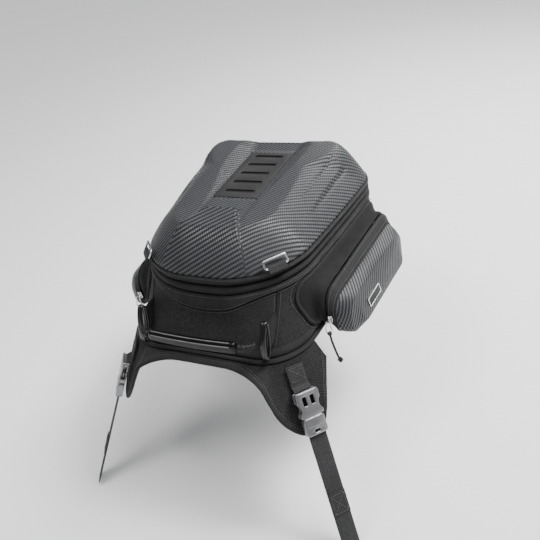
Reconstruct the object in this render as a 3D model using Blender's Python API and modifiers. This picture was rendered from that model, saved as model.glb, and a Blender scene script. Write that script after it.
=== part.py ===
"""A motorcycle tank bag: a moulded lid on a soft case, with side pockets, a handle and a buckled harness.

Metres, +Z up, +Y towards the handlebars, +X to the rider's right. The origin lies on the underside of the
anti-slip mat, below the middle of the lid. Every left-hand piece is the mirror of its right-hand one.
"""

import math

import bmesh
import bpy
from mathutils import Matrix, Vector
from mathutils.bvhtree import BVHTree

# Heights of the case, from the mat up.
GAP = 0.0004
MAT_TOP = 0.0026
PANEL_TOP = 0.008
FOOT_Z = PANEL_TOP + GAP
RIM_Z = 0.108
# Each level is its height at the sides and at the middle of the rear wall, where the bands dip.
BAND_FOOT = (0.080, 0.062)
EXPANSION_ZIP = (0.089, 0.084)
MAIN_ZIP = (0.0995, 0.0965)
DIP_HALF_WIDTH = 0.095

# Plan of the case at the rim of the lid, and how much it flares down to its foot.
REAR_Y = -0.152
FRONT_Y = 0.150
REAR_HALF = 0.108
FRONT_HALF = 0.143
REAR_RADIUS = 0.097
FRONT_RADIUS = 0.048
SIDE_BOW = 0.04
FLARE_REAR = 0.038
FLARE_SIDE = 0.018
FLARE_RADIUS = 0.042
FLARE_POWER = 1.6
WALL = 0.004

# The moulded lid, measured up from its rim.
LID_LIP = 0.003
LID_DOME = 0.051
LID_SHOULDER = 0.075
LID_POWER = 1.9
LID_THICKNESS = 0.004
FRONT_STEEPNESS = 1.6
VALLEY_FLOOR = 0.045
VALLEY_HALF = 0.036
VALLEY_SLOPE = 0.36
BULGE_FRONT_Y = -0.062
BULGE_REAR_Y = -0.145
BULGE_HALF_FRONT = 0.0235
BULGE_HALF_REAR = 0.067
BULGE_RISE = 0.004
PLATE_HALF = 0.0345
PLATE_REAR_Y = -0.0287
PLATE_FRONT_Y = 0.100
PLATE_THICKNESS = 0.0018
SLOT_HALF = 0.0195
SLOT_RADIUS = 0.0035
SLOT_FIRST_Y = -0.0115
SLOT_PITCH = 0.025
SLOT_COUNT = 5

# Side pockets: each outline is its rear and front Y, its lowest and highest Z, and its distance from the wall.
POCKET_JOINT = (-0.122, 0.112, 0.020, 0.076)
POCKET_ZIP = (-0.108, 0.104, 0.010, 0.065)
POCKET_EDGE = (-0.107, 0.096, -0.002, 0.052)
POCKET_RIDGE = (-0.098, 0.085, -0.008, 0.042)
POCKET_FACE = (-0.078, 0.064, 0.000, 0.034)
ZIP_OFF = 0.019
EDGE_OFF = 0.031
RIDGE_OFF = 0.048
FACE_TOP_OFF = 0.051
FACE_FOOT_OFF = 0.058
POCKET_WALL = 0.003
POCKET_CORNER_STEPS = 4
POCKET_SIDE_STEPS = (6, 2, 6, 2)
WALL_CLEARANCE = 0.0014
POCKET_PLANE_TILT = 0.0765
ZIP_PLANE_X = 0.1545

# The strap that leaves each rear wing: a point on it at the top of the buckle, its run and its outward side.
STRAP_TOP = Vector((0.1315, -0.1885, -0.028))
STRAP_RUN = Vector((0.315, -0.383, -0.869))
STRAP_OUT = Vector((0.747, -0.4545, 0.4848))
FRONT_STRAP_TOP = Vector((0.0, 0.190, -0.010))
FRONT_STRAP_RUN = Vector((0.0, 0.80, -0.60))
FRONT_STRAP_OUT = Vector((0.0, 0.60, 0.80))
STRAP_WIDTH = 0.025
STRAP_THICKNESS = 0.0018
SEWN_LENGTH = 0.033
LOWER_LENGTH = 0.160
FRONT_LOWER_LENGTH = 0.110

# Carrying handle on the rear wall.
GRIP_HALF = 0.066
GRIP_Y = -0.206
GRIP_Z = 0.046
HANDLE_END_X = 0.0885
HANDLE_PIVOT_Y = -0.187
HANDLE_PIVOT_Z = 0.041
HANDLE_LOOP_X = 0.0935
HANDLE_LOOP_Y = -0.182
HANDLE_LOOP_LEAN = 0.32
HANDLE_LOOP_TALL = 0.024
HANDLE_LOOP_DEEP = 0.0068
HANDLE_LOOP_RADIUS = 0.003
ANCHOR_HALF_WIDTH = 0.003
ANCHOR_LEVELS = (0.024, 0.032, 0.041, 0.050, 0.058)

CORNER_STEPS = 6


def clear_scene():
    for obj in list(bpy.data.objects):
        bpy.data.objects.remove(obj, do_unlink=True)


clear_scene()
BAG = bpy.data.collections.new("tank_bag")
CUTTERS = bpy.data.collections.new("cutters")
bpy.context.scene.collection.children.link(BAG)
bpy.context.scene.collection.children.link(CUTTERS)


def material(name, colour, roughness, metallic=0.0):
    made = bpy.data.materials.new(name)
    made.use_nodes = True
    shader = made.node_tree.nodes["Principled BSDF"]
    shader.inputs["Base Color"].default_value = (*colour, 1.0)
    shader.inputs["Roughness"].default_value = roughness
    shader.inputs["Metallic"].default_value = metallic
    return made


CARBON = material("carbon_twill", (0.035, 0.036, 0.038), 0.38)
FABRIC = material("nylon_fabric", (0.028, 0.028, 0.029), 0.85)
BINDING = material("binding_tape", (0.022, 0.022, 0.023), 0.8)
WEBBING = material("webbing", (0.035, 0.035, 0.036), 0.8)
LINING = material("lining", (0.06, 0.06, 0.062), 0.9)
BOARD = material("stiffener", (0.05, 0.05, 0.05), 0.7)
MAT = material("anti_slip_rubber", (0.02, 0.02, 0.02), 0.9)
RUBBER = material("handle_rubber", (0.012, 0.012, 0.013), 0.3)
PLATE = material("plate_rubber", (0.06, 0.06, 0.062), 0.55)
ZIPPER = material("zipper_coil", (0.012, 0.012, 0.013), 0.6)
METAL = material("nickel", (0.62, 0.62, 0.63), 0.25, 1.0)
BUCKLE = material("buckle", (0.30, 0.30, 0.31), 0.3, 0.8)
CORD = material("cord", (0.015, 0.015, 0.016), 0.8)


# Mesh helpers.


def add(name, mesh_source, look, collection=BAG):
    """Turns a bmesh into an object."""
    bmesh.ops.recalc_face_normals(mesh_source, faces=mesh_source.faces)
    mesh = bpy.data.meshes.new(name)
    mesh_source.to_mesh(mesh)
    mesh_source.free()
    if look:
        mesh.materials.append(look)
    obj = bpy.data.objects.new(name, mesh)
    collection.objects.link(obj)
    return obj


def smooth(obj, degrees=40):
    obj.data.shade_smooth()
    obj.data.set_sharp_from_angle(angle=math.radians(degrees))
    return obj


def skin(name, rings, look, closed=False, collection=BAG):
    """Faces between rings of equal count. Closed joins the last ring to the first; otherwise both ends are capped."""
    made = bmesh.new()
    rows = [[made.verts.new(point) for point in ring] for ring in rings]
    pairs = list(zip(rows, rows[1:]))
    if closed:
        pairs.append((rows[-1], rows[0]))
    else:
        made.faces.new(rows[0])
        made.faces.new(rows[-1])
    for lower, upper in pairs:
        for i in range(len(lower)):
            j = (i + 1) % len(lower)
            made.faces.new((lower[i], lower[j], upper[j], upper[i]))
    return add(name, made, look, collection)


def box(name, low, high, look, frame=Matrix(), collection=BAG):
    made = bmesh.new()
    bmesh.ops.create_cube(made, size=1.0)
    middle = (Vector(low) + Vector(high)) / 2
    size = Vector(high) - Vector(low)
    place = frame @ Matrix.Translation(middle) @ Matrix.Diagonal((*size, 1.0))
    bmesh.ops.transform(made, matrix=place, verts=made.verts)
    obj = add(name, made, look, collection)
    if collection is CUTTERS:
        obj.hide_render = True
        obj.display_type = "WIRE"
    return obj


def bevel(obj, width, segments=1):
    modifier = obj.modifiers.new("Bevel", "BEVEL")
    modifier.width = width
    modifier.segments = segments
    modifier.limit_method = "ANGLE"
    return obj


def boolean(obj, other, operation="DIFFERENCE"):
    modifier = obj.modifiers.new(operation.title(), "BOOLEAN")
    modifier.operation = operation
    modifier.object = other
    return obj


def as_helper(obj):
    """Moves an object to the cutters, for a Boolean that uses its shape."""
    BAG.objects.unlink(obj)
    CUTTERS.objects.link(obj)
    obj.hide_render = True
    obj.display_type = "WIRE"
    return obj


def baked(obj):
    """Replaces an object by its evaluated mesh, with the ends of a curve welded."""
    graph = bpy.context.evaluated_depsgraph_get()
    mesh = bpy.data.meshes.new_from_object(obj.evaluated_get(graph))
    made = bmesh.new()
    made.from_mesh(mesh)
    bmesh.ops.remove_doubles(made, verts=made.verts, dist=1e-5)
    bmesh.ops.recalc_face_normals(made, faces=made.faces)
    made.to_mesh(mesh)
    made.free()
    name = obj.name
    new = bpy.data.objects.new(name + "_mesh", mesh)
    new.matrix_world = obj.matrix_world
    obj.users_collection[0].objects.link(new)
    bpy.data.objects.remove(obj, do_unlink=True)
    new.name = name
    return new


def tube(name, points, radius, look, cyclic=False, sides=2):
    """A round wire through the points, as a poly curve with filled ends."""
    curve = bpy.data.curves.new(name, "CURVE")
    curve.dimensions = "3D"
    curve.bevel_depth = radius
    curve.bevel_resolution = sides
    curve.use_fill_caps = not cyclic
    spline = curve.splines.new("POLY")
    spline.points.add(len(points) - 1)
    for place, point in zip(spline.points, points):
        place.co = (*point, 1.0)
    spline.use_cyclic_u = cyclic
    curve.materials.append(look)
    obj = bpy.data.objects.new(name, curve)
    BAG.objects.link(obj)
    return obj


def mirrored(obj, name):
    """A left-hand copy of a right-hand piece."""
    mesh = obj.data.copy()
    mesh.name = name
    mesh.transform(obj.matrix_world)
    mesh.transform(Matrix.Scale(-1, 4, (1, 0, 0)))
    mesh.flip_normals()
    new = bpy.data.objects.new(name, mesh)
    BAG.objects.link(new)
    return new


def both_sides(obj):
    """Bakes a right-hand piece, whose name ends in _right, and adds its left-hand twin."""
    right = baked(obj)
    mirrored(right, right.name.replace("_right", "_left"))
    return right


def smooth_curve(points, step):
    """Evenly spaced points along a Catmull-Rom curve through the given ones."""
    points = [Vector(point) for point in points]
    path = [points[0] * 2 - points[1], *points, points[-1] * 2 - points[-2]]
    found = [points[0]]
    for a, b, c, d in zip(path, path[1:], path[2:], path[3:]):
        count = max(2, round((c - b).length / step))
        for i in range(1, count + 1):
            t = i / count
            found.append(
                0.5 * (2 * b + (c - a) * t + (2 * a - 5 * b + 4 * c - d) * t**2 + (3 * b - a - 3 * c + d) * t**3)
            )
    return found


# The plan of the case, and rings of points round it.


def half_outline(rear_y, front_y, rear_half, front_half, rear_radius, front_radius):
    """The right half of the plan, from the middle of the rear edge to the middle of the front edge."""
    out = Vector((front_y - rear_y, rear_half - front_half)).normalized()
    side = Vector((rear_half, rear_y)).dot(out)
    side_angle = math.atan2(out.y, out.x)
    arcs = []
    for radius, y, start, end in (
        (rear_radius, rear_y + rear_radius, -math.pi / 2, side_angle),
        (front_radius, front_y - front_radius, side_angle, math.pi / 2),
    ):
        centre = Vector(((side - radius - y * out.y) / out.x, y))
        turns = [start + (end - start) * i / CORNER_STEPS for i in range(CORNER_STEPS + 1)]
        arcs.append([centre + radius * Vector((math.cos(turn), math.sin(turn))) for turn in turns])
    rear, front = arcs
    points = [Vector((rear[0].x * i / 4, rear_y)) for i in range(4)]
    points += rear
    points += [rear[-1].lerp(front[0], i / 6) for i in range(1, 6)]
    points += front
    points += [Vector((front[-1].x / 2, front_y)), Vector((0, front_y))]
    middle = (rear_y + front_y) / 2
    half = (front_y - rear_y) / 2
    return [Vector((p.x * (1 + SIDE_BOW * (1 - ((p.y - middle) / half) ** 2)), p.y)) for p in points]


def case_outline(height, grow=0.0):
    """The whole plan of the case at a height, grown by a distance, as points (x, y)."""
    share = min(1.0, max(0.0, (height - FOOT_Z) / (RIM_Z - FOOT_Z)))
    flare = (1 - share) ** FLARE_POWER
    right = half_outline(
        REAR_Y - FLARE_REAR * flare - grow,
        FRONT_Y + grow,
        REAR_HALF + FLARE_SIDE * flare + grow,
        FRONT_HALF + grow,
        REAR_RADIUS - FLARE_RADIUS * flare + grow,
        FRONT_RADIUS + grow,
    )
    return right + [Vector((-p.x, p.y)) for p in right[-2:0:-1]]


def dip(point):
    """1 at the middle of the rear wall, falling to 0 beside it."""
    if point.y > 0:
        return 0.0
    return math.cos(math.pi / 2 * min(1.0, abs(point.x) / DIP_HALF_WIDTH)) ** 2


def case_ring(level, grow=0.0):
    """The plan at a level, which is its height at the sides and its height at the middle of the rear."""
    at_side = case_outline(level[0], grow)
    at_rear = case_outline(level[1], grow)
    ring = []
    for a, b in zip(at_side, at_rear):
        share = dip(a)
        flat = a.lerp(b, share)
        ring.append(Vector((flat.x, flat.y, level[0] + (level[1] - level[0]) * share)))
    return ring


def between(low, high, share):
    return tuple(a + (b - a) * share for a, b in zip(low, high))


def raised(level, height):
    return (level[0] + height, level[1] + height)


def band(name, low, high, outer, inner, look):
    """A closed hoop round the case between two levels."""
    rings = [case_ring(low, outer), case_ring(high, outer), case_ring(high, inner), case_ring(low, inner)]
    return smooth(skin(name, rings, look, closed=True))


def case_half_width(y, height):
    """The half-width of the case at a Y and a height."""
    outline = case_outline(height)
    right = outline[: len(outline) // 2 + 1]
    for a, b in zip(right, right[1:]):
        if a.y <= y <= b.y and b.y > a.y:
            return a.x + (b.x - a.x) * (y - a.y) / (b.y - a.y)
    return right[len(right) // 2].x


def case_rear_y(x, height):
    """The Y of the rear wall of the case at an X and a height."""
    outline = case_outline(height)
    for a, b in zip(outline, outline[1:]):
        if a.x <= x <= b.x and b.x > a.x:
            return a.y + (b.y - a.y) * (x - a.x) / (b.x - a.x)
    return outline[0].y


# The soft case and what is sewn round it.


def build_base():
    flat = (0.0, 0.0)
    rings = [case_ring(flat, -0.006), case_ring((MAT_TOP, MAT_TOP), -0.006)]
    skin("anti_slip_mat", rings, MAT)
    low = MAT_TOP + GAP
    rings = [case_ring((low, low), 0.001), case_ring((PANEL_TOP, PANEL_TOP), 0.002)]
    smooth(skin("base_panel", rings, FABRIC))
    foot = (FOOT_Z, FOOT_Z)
    outer = 0.0052
    top = raised(foot, 0.0045)
    rings = [
        [Vector((p.x, p.y, z)) for p in case_outline(0.0, grow)]
        for grow, z in ((0.0006, FOOT_Z), (outer, FOOT_Z), (outer, FOOT_Z + 0.003), (0.0006, top[0]))
    ]
    smooth(skin("base_piping", rings, BINDING, closed=True))


def build_case():
    foot = (FOOT_Z, FOOT_Z)
    outer = [case_ring(between(foot, BAND_FOOT, share)) for share in (0.0, 0.07, 0.2, 0.4, 0.7, 1.0)]
    inner = [case_ring(between(foot, BAND_FOOT, share), -WALL) for share in (1.0, 0.7, 0.4, 0.2)]
    floor_z = FOOT_Z + WALL
    floor = case_ring((floor_z, floor_z), -WALL)
    smooth(skin("body_shell", [*outer, *inner, floor], FABRIC))
    low = floor_z + GAP
    lining_out = WALL + 0.0008
    lining_in = lining_out + 0.0012
    top = raised(BAND_FOOT, -0.002)
    levels = [between((low, low), top, share) for share in (0.0, 0.25, 0.6, 1.0)]
    raised_floor = low + 0.0012
    rings = [case_ring(level, -lining_out) for level in levels]
    rings += [case_ring(level, -lining_in) for level in levels[:0:-1]]
    rings.append(case_ring((raised_floor, raised_floor), -lining_in))
    smooth(skin("body_lining", rings, LINING))
    board = raised_floor + GAP
    rings = [case_ring((z, z), -0.014) for z in (board, board + 0.0025)]
    skin("floor_board", rings, BOARD)


def build_bands():
    band("lower_band", raised(BAND_FOOT, GAP), raised(EXPANSION_ZIP, -0.0022), 0.0008, -WALL, FABRIC)
    band("expansion_zipper", raised(EXPANSION_ZIP, -0.0018), raised(EXPANSION_ZIP, 0.0018), -0.0018, -WALL, ZIPPER)
    band("upper_band", raised(EXPANSION_ZIP, 0.0022), raised(MAIN_ZIP, -0.0024), 0.0008, -WALL, FABRIC)
    band("main_zipper_lower", raised(MAIN_ZIP, -0.002), raised(MAIN_ZIP, -GAP / 2), -0.0018, -WALL, ZIPPER)
    band("main_zipper_upper", raised(MAIN_ZIP, GAP / 2), raised(MAIN_ZIP, 0.002), -0.0018, -WALL, ZIPPER)
    rim = (RIM_Z - GAP, RIM_Z - GAP)
    band("lid_binding", raised(MAIN_ZIP, 0.0024), rim, 0.0012, -WALL, BINDING)
    front = FRONT_Y + 0.0018
    hinge = box(
        "lid_hinge_tape",
        (-0.085, front, MAIN_ZIP[0] - 0.012),
        (0.085, front + 0.0014, MAIN_ZIP[0] - 0.001),
        BINDING,
    )
    bevel(hinge, 0.0004)


# The moulded lid.


def smooth_min(a, b, width):
    """The smaller of two heights, rounded where they cross."""
    share = min(1.0, max(0.0, 0.5 + 0.5 * (b - a) / width))
    return b + (a - b) * share - width * share * (1 - share)


def step(low, high, value):
    share = min(1.0, max(0.0, (value - low) / (high - low)))
    return share * share * (3 - 2 * share)


def lid_height(x, y, inset):
    """Height above the rim at a point, where inset is how far in from the rim it counts as being."""
    fall = 1 - min(inset, LID_SHOULDER) / LID_SHOULDER
    dome = LID_LIP + LID_DOME * (1 - fall**LID_POWER)
    crest = LID_LIP + LID_DOME - 0.008 * step(0.09, -0.06, y)
    valley = VALLEY_FLOOR + VALLEY_SLOPE * max(0.0, abs(x) - VALLEY_HALF) + 0.15 * max(0.0, y - 0.111)
    height = smooth_min(smooth_min(dome, crest, 0.002), valley, 0.0015)
    share = (BULGE_FRONT_Y - y) / (BULGE_FRONT_Y - BULGE_REAR_Y)
    half = BULGE_HALF_FRONT + (BULGE_HALF_REAR - BULGE_HALF_FRONT) * share
    mask = step(0.0, 0.004, half - abs(x)) * step(0.0, 0.004, BULGE_FRONT_Y - y) * step(0.0, 0.012, inset)
    return height + BULGE_RISE * mask


def lid_rings(shares, drop=0.0, shrink=0.0):
    """Rings of the dome from the rim inwards. Each share is how far towards the middle a ring lies."""
    rim = case_outline(RIM_Z, -shrink)
    count = len(rim)
    rings = []
    for share in shares:
        ring = []
        for i, point in enumerate(rim):
            along = rim[(i + 1) % count] - rim[i - 1]
            out = Vector((along.y, -along.x)).normalized()
            steep = 1 + FRONT_STEEPNESS * max(0.0, out.y) ** 2
            inset = share * point.dot(out) * steep
            flat = point * (1 - share)
            ring.append(Vector((flat.x, flat.y, RIM_Z + lid_height(flat.x, flat.y, inset) - drop)))
        rings.append(ring)
    return rings


def open_shell(name, rings, thickness, look):
    """A sheet through the rings, closed over the last one, thickened inwards."""
    made = bmesh.new()
    rows = [[made.verts.new(point) for point in ring] for ring in rings]
    for lower, upper in zip(rows, rows[1:]):
        for i in range(len(lower)):
            j = (i + 1) % len(lower)
            made.faces.new((lower[i], lower[j], upper[j], upper[i]))
    made.faces.new(rows[-1])
    obj = add(name, made, look)
    if obj.data.polygons[-1].normal.z < 0:
        obj.data.flip_normals()
    modifier = obj.modifiers.new("Solidify", "SOLIDIFY")
    modifier.thickness = thickness
    modifier.offset = -1
    modifier.use_even_offset = True
    return smooth(obj, 50)


def stadium(name, half, radius, low, high, centre, look, collection):
    """A slab with round ends, long in X."""
    made = bmesh.new()
    points = []
    for side in (1, -1):
        for i in range(7):
            turn = -math.pi / 2 + math.pi * i / 6
            x = side * (half + radius * math.cos(turn))
            points.append((centre[0] + x, centre[1] + side * radius * math.sin(turn)))
    rows = [[made.verts.new((x, y, z)) for x, y in points] for z in (low, high)]
    made.faces.new(rows[0])
    made.faces.new(rows[1])
    for i in range(len(points)):
        j = (i + 1) % len(points)
        made.faces.new((rows[0][i], rows[0][j], rows[1][j], rows[1][i]))
    obj = add(name, made, look, collection)
    obj.hide_render = collection is CUTTERS
    obj.display_type = "WIRE" if collection is CUTTERS else "TEXTURED"
    return obj


def build_lid():
    shares = (0.0, 0.03, 0.07, 0.12, 0.18, 0.25, 0.34, 0.44, 0.56, 0.70, 0.86)
    rings = lid_rings(shares)
    rim = [Vector((p.x, p.y, RIM_Z)) for p in rings[0]]
    shell = open_shell("lid_shell", [rim, *rings], LID_THICKNESS, CARBON)
    floor = RIM_Z + VALLEY_FLOOR - PLATE_THICKNESS
    recess = box(
        "plate_recess",
        (-PLATE_HALF - GAP, PLATE_REAR_Y - GAP, floor - GAP),
        (PLATE_HALF + GAP, PLATE_FRONT_Y + GAP, floor + 0.02),
        None,
        collection=CUTTERS,
    )
    boolean(shell, recess)
    plate = box(
        "slot_plate",
        (-PLATE_HALF, PLATE_REAR_Y, floor),
        (PLATE_HALF, PLATE_FRONT_Y, floor + PLATE_THICKNESS + 0.0004),
        PLATE,
    )
    for i in range(SLOT_COUNT):
        middle = (0.0, SLOT_FIRST_Y + SLOT_PITCH * i)
        cutter = stadium(f"slot_{i + 1}", SLOT_HALF, SLOT_RADIUS, floor - 0.005, floor + 0.01, middle, None, CUTTERS)
        boolean(plate, cutter)
    inner = lid_rings((0.0, 0.05, 0.12, 0.22, 0.34, 0.50, 0.75), drop=0.0062, shrink=0.0062)
    foot = [Vector((p.x, p.y, RIM_Z - 0.004)) for p in inner[0]]
    open_shell("lid_lining", [foot, *inner], 0.001, LINING)


def build_lid_rings():
    """Webbing tabs at the rear corners of the lid, each with a rectangular wire ring."""
    half = 0.0155
    drop = 0.011
    out = Vector((0.749, -0.662, 0.0)).normalized()
    nearest = sorted(case_outline(RIM_Z), key=lambda point: point.dot(out.xy))[-2:]
    corner_point = (nearest[0] + nearest[1]) / 2
    up = (Vector((0, 0, 1)) - 0.6 * out).normalized()
    along = out.cross(up).normalized() * -1
    low_bar = Vector((*corner_point, RIM_Z + 0.007)) + 0.0045 * out
    top = low_bar + drop * up
    frame = Matrix.Translation(top) @ Matrix((along, up.cross(along), up)).transposed().to_4x4()
    corner = 0.002
    points = [
        (half - corner, 0, 0),
        (half, 0, -corner),
        (half, 0, -drop + corner),
        (half - corner, 0, -drop),
        (-half + corner, 0, -drop),
        (-half, 0, -drop + corner),
        (-half, 0, -corner),
        (-half + corner, 0, 0),
    ]
    both_sides(tube("lid_ring_right", [frame @ Vector(p) for p in points], 0.0014, METAL, cyclic=True))
    # The tab wraps the lower bar with a clear eye, and both plies run down to the rim.
    width = 0.0123
    eye = 0.0019
    thickness = 0.0012
    section = []
    for radius in (eye + thickness, eye):
        arc = []
        for i in range(9):
            turn = math.pi * i / 8
            arc.append((radius * math.cos(turn), radius * math.sin(turn)))
        section.append(arc)
    outer, inner = section
    foot = (RIM_Z + 0.0020 - (top.z - drop * up.z)) / up.z
    profile = [(outer[0][0], foot), *outer, (outer[-1][0], foot), (inner[-1][0], foot), *inner[::-1]]
    profile.append((inner[0][0], foot))
    rings = [[frame @ Vector((x, y, z - drop)) for y, z in profile] for x in (-width, width)]
    both_sides(skin("ring_tab_right", rings, WEBBING))


# Side pockets.


def pocket_ring(bounds, top_off, foot_off=None, inset=0.0):
    """A rounded outline in Y and Z, standing off the wall of the case. None keeps it at the wall."""
    rear, front, low, high = bounds
    rear, front, low, high = rear + inset, front - inset, low + inset, high - inset
    foot_off = top_off if foot_off is None else foot_off
    tall = high - low
    radii = (0.46 * tall, 0.40 * tall, 0.28 * tall, 0.28 * tall)
    corners = ((rear, high, 1, -1), (front, high, -1, -1), (front, low, -1, 1), (rear, low, 1, 1))
    starts = (180, 90, 0, -90)
    arcs = []
    for (y, z, side_y, side_z), radius, start in zip(corners, radii, starts):
        centre = Vector((y + side_y * radius, z + side_z * radius))
        turns = [math.radians(start - 90 * i / POCKET_CORNER_STEPS) for i in range(POCKET_CORNER_STEPS + 1)]
        arcs.append([centre + radius * Vector((math.cos(turn), math.sin(turn))) for turn in turns])
    flat = []
    for arc, following, steps in zip(arcs, arcs[1:] + arcs[:1], POCKET_SIDE_STEPS):
        flat += arc
        flat += [arc[-1].lerp(following[0], i / steps) for i in range(1, steps)]
    ring = []
    for y, z in flat:
        off = top_off + (foot_off - top_off) * (high - z) / tall
        if off < 2 * WALL_CLEARANCE:
            x = case_half_width(y, z) + off
        else:
            x = ZIP_PLANE_X + POCKET_PLANE_TILT * y + off - ZIP_OFF
        ring.append(Vector((x, y, z)))
    return ring


def build_pockets():
    zip_low = ZIP_OFF
    zip_high = ZIP_OFF + 0.0024
    rings = [
        pocket_ring(POCKET_JOINT, WALL_CLEARANCE),
        pocket_ring(POCKET_ZIP, zip_low),
        pocket_ring(POCKET_ZIP, zip_low, inset=POCKET_WALL),
        pocket_ring(POCKET_JOINT, WALL_CLEARANCE, inset=POCKET_WALL),
    ]
    both_sides(smooth(skin("pocket_gusset_right", rings, FABRIC, closed=True)))
    rings = [
        pocket_ring(POCKET_ZIP, zip_low + GAP, inset=0.0006),
        pocket_ring(POCKET_ZIP, zip_high, inset=0.0006),
        pocket_ring(POCKET_ZIP, zip_high, inset=POCKET_WALL),
        pocket_ring(POCKET_ZIP, zip_low + GAP, inset=POCKET_WALL),
    ]
    both_sides(smooth(skin("pocket_zipper_right", rings, ZIPPER, closed=True)))
    rings = [
        pocket_ring(POCKET_ZIP, zip_high + GAP, inset=0.0006),
        pocket_ring(POCKET_EDGE, EDGE_OFF),
        pocket_ring(POCKET_EDGE, EDGE_OFF, inset=POCKET_WALL),
        pocket_ring(POCKET_ZIP, zip_high + GAP, inset=0.0006 + POCKET_WALL),
    ]
    both_sides(smooth(skin("pocket_band_right", rings, FABRIC, closed=True)))
    start = EDGE_OFF + GAP
    rings = [
        pocket_ring(POCKET_FACE, FACE_TOP_OFF - POCKET_WALL, FACE_FOOT_OFF - POCKET_WALL, inset=0.001),
        pocket_ring(POCKET_RIDGE, RIDGE_OFF - POCKET_WALL, inset=POCKET_WALL),
        pocket_ring(POCKET_EDGE, start, inset=POCKET_WALL),
        pocket_ring(POCKET_EDGE, start),
        pocket_ring(POCKET_RIDGE, RIDGE_OFF),
        pocket_ring(POCKET_FACE, FACE_TOP_OFF, FACE_FOOT_OFF),
    ]
    both_sides(smooth(skin("pocket_shell_right", rings, CARBON), 30))
    # A plain plate on the slanted outer face, towards the rear.
    tall = POCKET_FACE[3] - POCKET_FACE[2]
    down = Vector((FACE_FOOT_OFF - FACE_TOP_OFF, 0.0, -tall)).normalized()
    along = Vector((POCKET_PLANE_TILT, 1.0, 0.0)).normalized()
    out = along.cross(down) * -1
    y = -0.040
    face_x = ZIP_PLANE_X + POCKET_PLANE_TILT * y - ZIP_OFF + (FACE_TOP_OFF + FACE_FOOT_OFF) / 2
    middle = Vector((face_x, y, (POCKET_FACE[2] + POCKET_FACE[3]) / 2)) + out * 0.0006
    frame = Matrix.Translation(middle) @ Matrix((along, -down, out)).transposed().to_4x4()
    both_sides(box("pocket_badge_right", (-0.019, -0.0065, 0.0), (0.019, 0.0065, 0.0012), METAL, frame))


# Zip sliders with their pulls.


def slider(name, frame):
    """A slider straddling a zip: frame has X along the zip and Z out of it."""
    body = box(name, (-0.0055, -0.0042, 0.0), (0.0055, 0.0042, 0.0022), METAL, frame)
    bridge = box(name + "_bridge", (-0.0035, -0.0009, 0.0018), (0.0035, 0.0009, 0.0046), METAL, frame, CUTTERS)
    return boolean(body, bridge, "UNION")


def pull(name, frame, length):
    """A wire loop hung on a slider's bridge, with its top bar at the frame's origin and hanging along -Y."""
    half = 0.0034
    points = [
        (-half + 0.001, 0.0, 0),
        (half - 0.001, 0.0, 0),
        (half, -0.001, 0),
        (half, -length + 0.001, 0),
        (half - 0.001, -length, 0),
        (-half + 0.001, -length, 0),
        (-half, -length + 0.001, 0),
        (-half, -0.001, 0),
    ]
    return tube(name, [frame @ Vector(p) for p in points], 0.0009, METAL, cyclic=True)


PULL_LENGTH = 0.016
CORD_GAP = 0.0066
SLIDER_Z = 0.026
POCKET_SLIDER = Vector((ZIP_PLANE_X + POCKET_PLANE_TILT * POCKET_ZIP[0] + 0.0048, POCKET_ZIP[0] - 0.0012, SLIDER_Z))


def build_pocket_sliders():
    out = Vector((0.0, -1.0, 0.0))
    along = Vector((0.0, 0.0, 1.0))
    across = out.cross(along)
    frame = Matrix.Translation(POCKET_SLIDER) @ Matrix((along, across, out)).transposed().to_4x4()
    both_sides(slider("pocket_slider_right", frame))
    # The pull hangs from just outside the bridge, leaning out from the gusset.
    hang = Vector((0.05, -0.22, -1.0)).normalized()
    side = Vector((1.0, 0.0, 0.05)).normalized()
    face = side.cross(-hang).normalized()
    top = POCKET_SLIDER + Vector((0.0, -0.0072, 0.001))
    frame = Matrix.Translation(top) @ Matrix((side, -hang, face)).transposed().to_4x4()
    both_sides(pull("pocket_pull_right", frame, PULL_LENGTH))
    loop = top + hang * (PULL_LENGTH - 0.0034)
    route = [
        loop,
        loop + Vector((0.0014, -0.0008, -0.010)),
        loop + Vector((0.0036, -0.0012, -0.022)),
        loop + Vector((0.0058, -0.0008, -0.034)),
        loop + Vector((0.0084, -0.0002, -0.046)),
    ]
    route = [point + Vector((0.0, 0.0, -CORD_GAP)) for point in route]
    both_sides(tube("pull_cord_right", smooth_curve(route, 0.006), 0.0015, CORD))


def build_main_sliders():
    for name, y in (("front", 0.072), ("rear", 0.054)):
        half = case_half_width(y, MAIN_ZIP[0])
        lean = (case_half_width(y + 0.01, MAIN_ZIP[0]) - case_half_width(y - 0.01, MAIN_ZIP[0])) / 0.02
        along = Vector((-lean, 1.0, 0.0)).normalized()
        out = Vector((-1.0, -lean, 0.0)).normalized()
        across = out.cross(along)
        place = Vector((-half, y, MAIN_ZIP[0])) + out * 0.0016
        frame = Matrix.Translation(place) @ Matrix((along, across, out)).transposed().to_4x4()
        baked(slider(f"main_slider_{name}", frame))
        hang = Vector((-0.12, 0.0, -1.0)).normalized()
        side = along
        face = side.cross(-hang).normalized()
        top = place + out * 0.0068
        frame = Matrix.Translation(top) @ Matrix((side, -hang, face)).transposed().to_4x4()
        baked(pull(f"main_pull_{name}", frame, 0.020))


# Harness: rear skirt with its two wings, straps and buckles.


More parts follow.
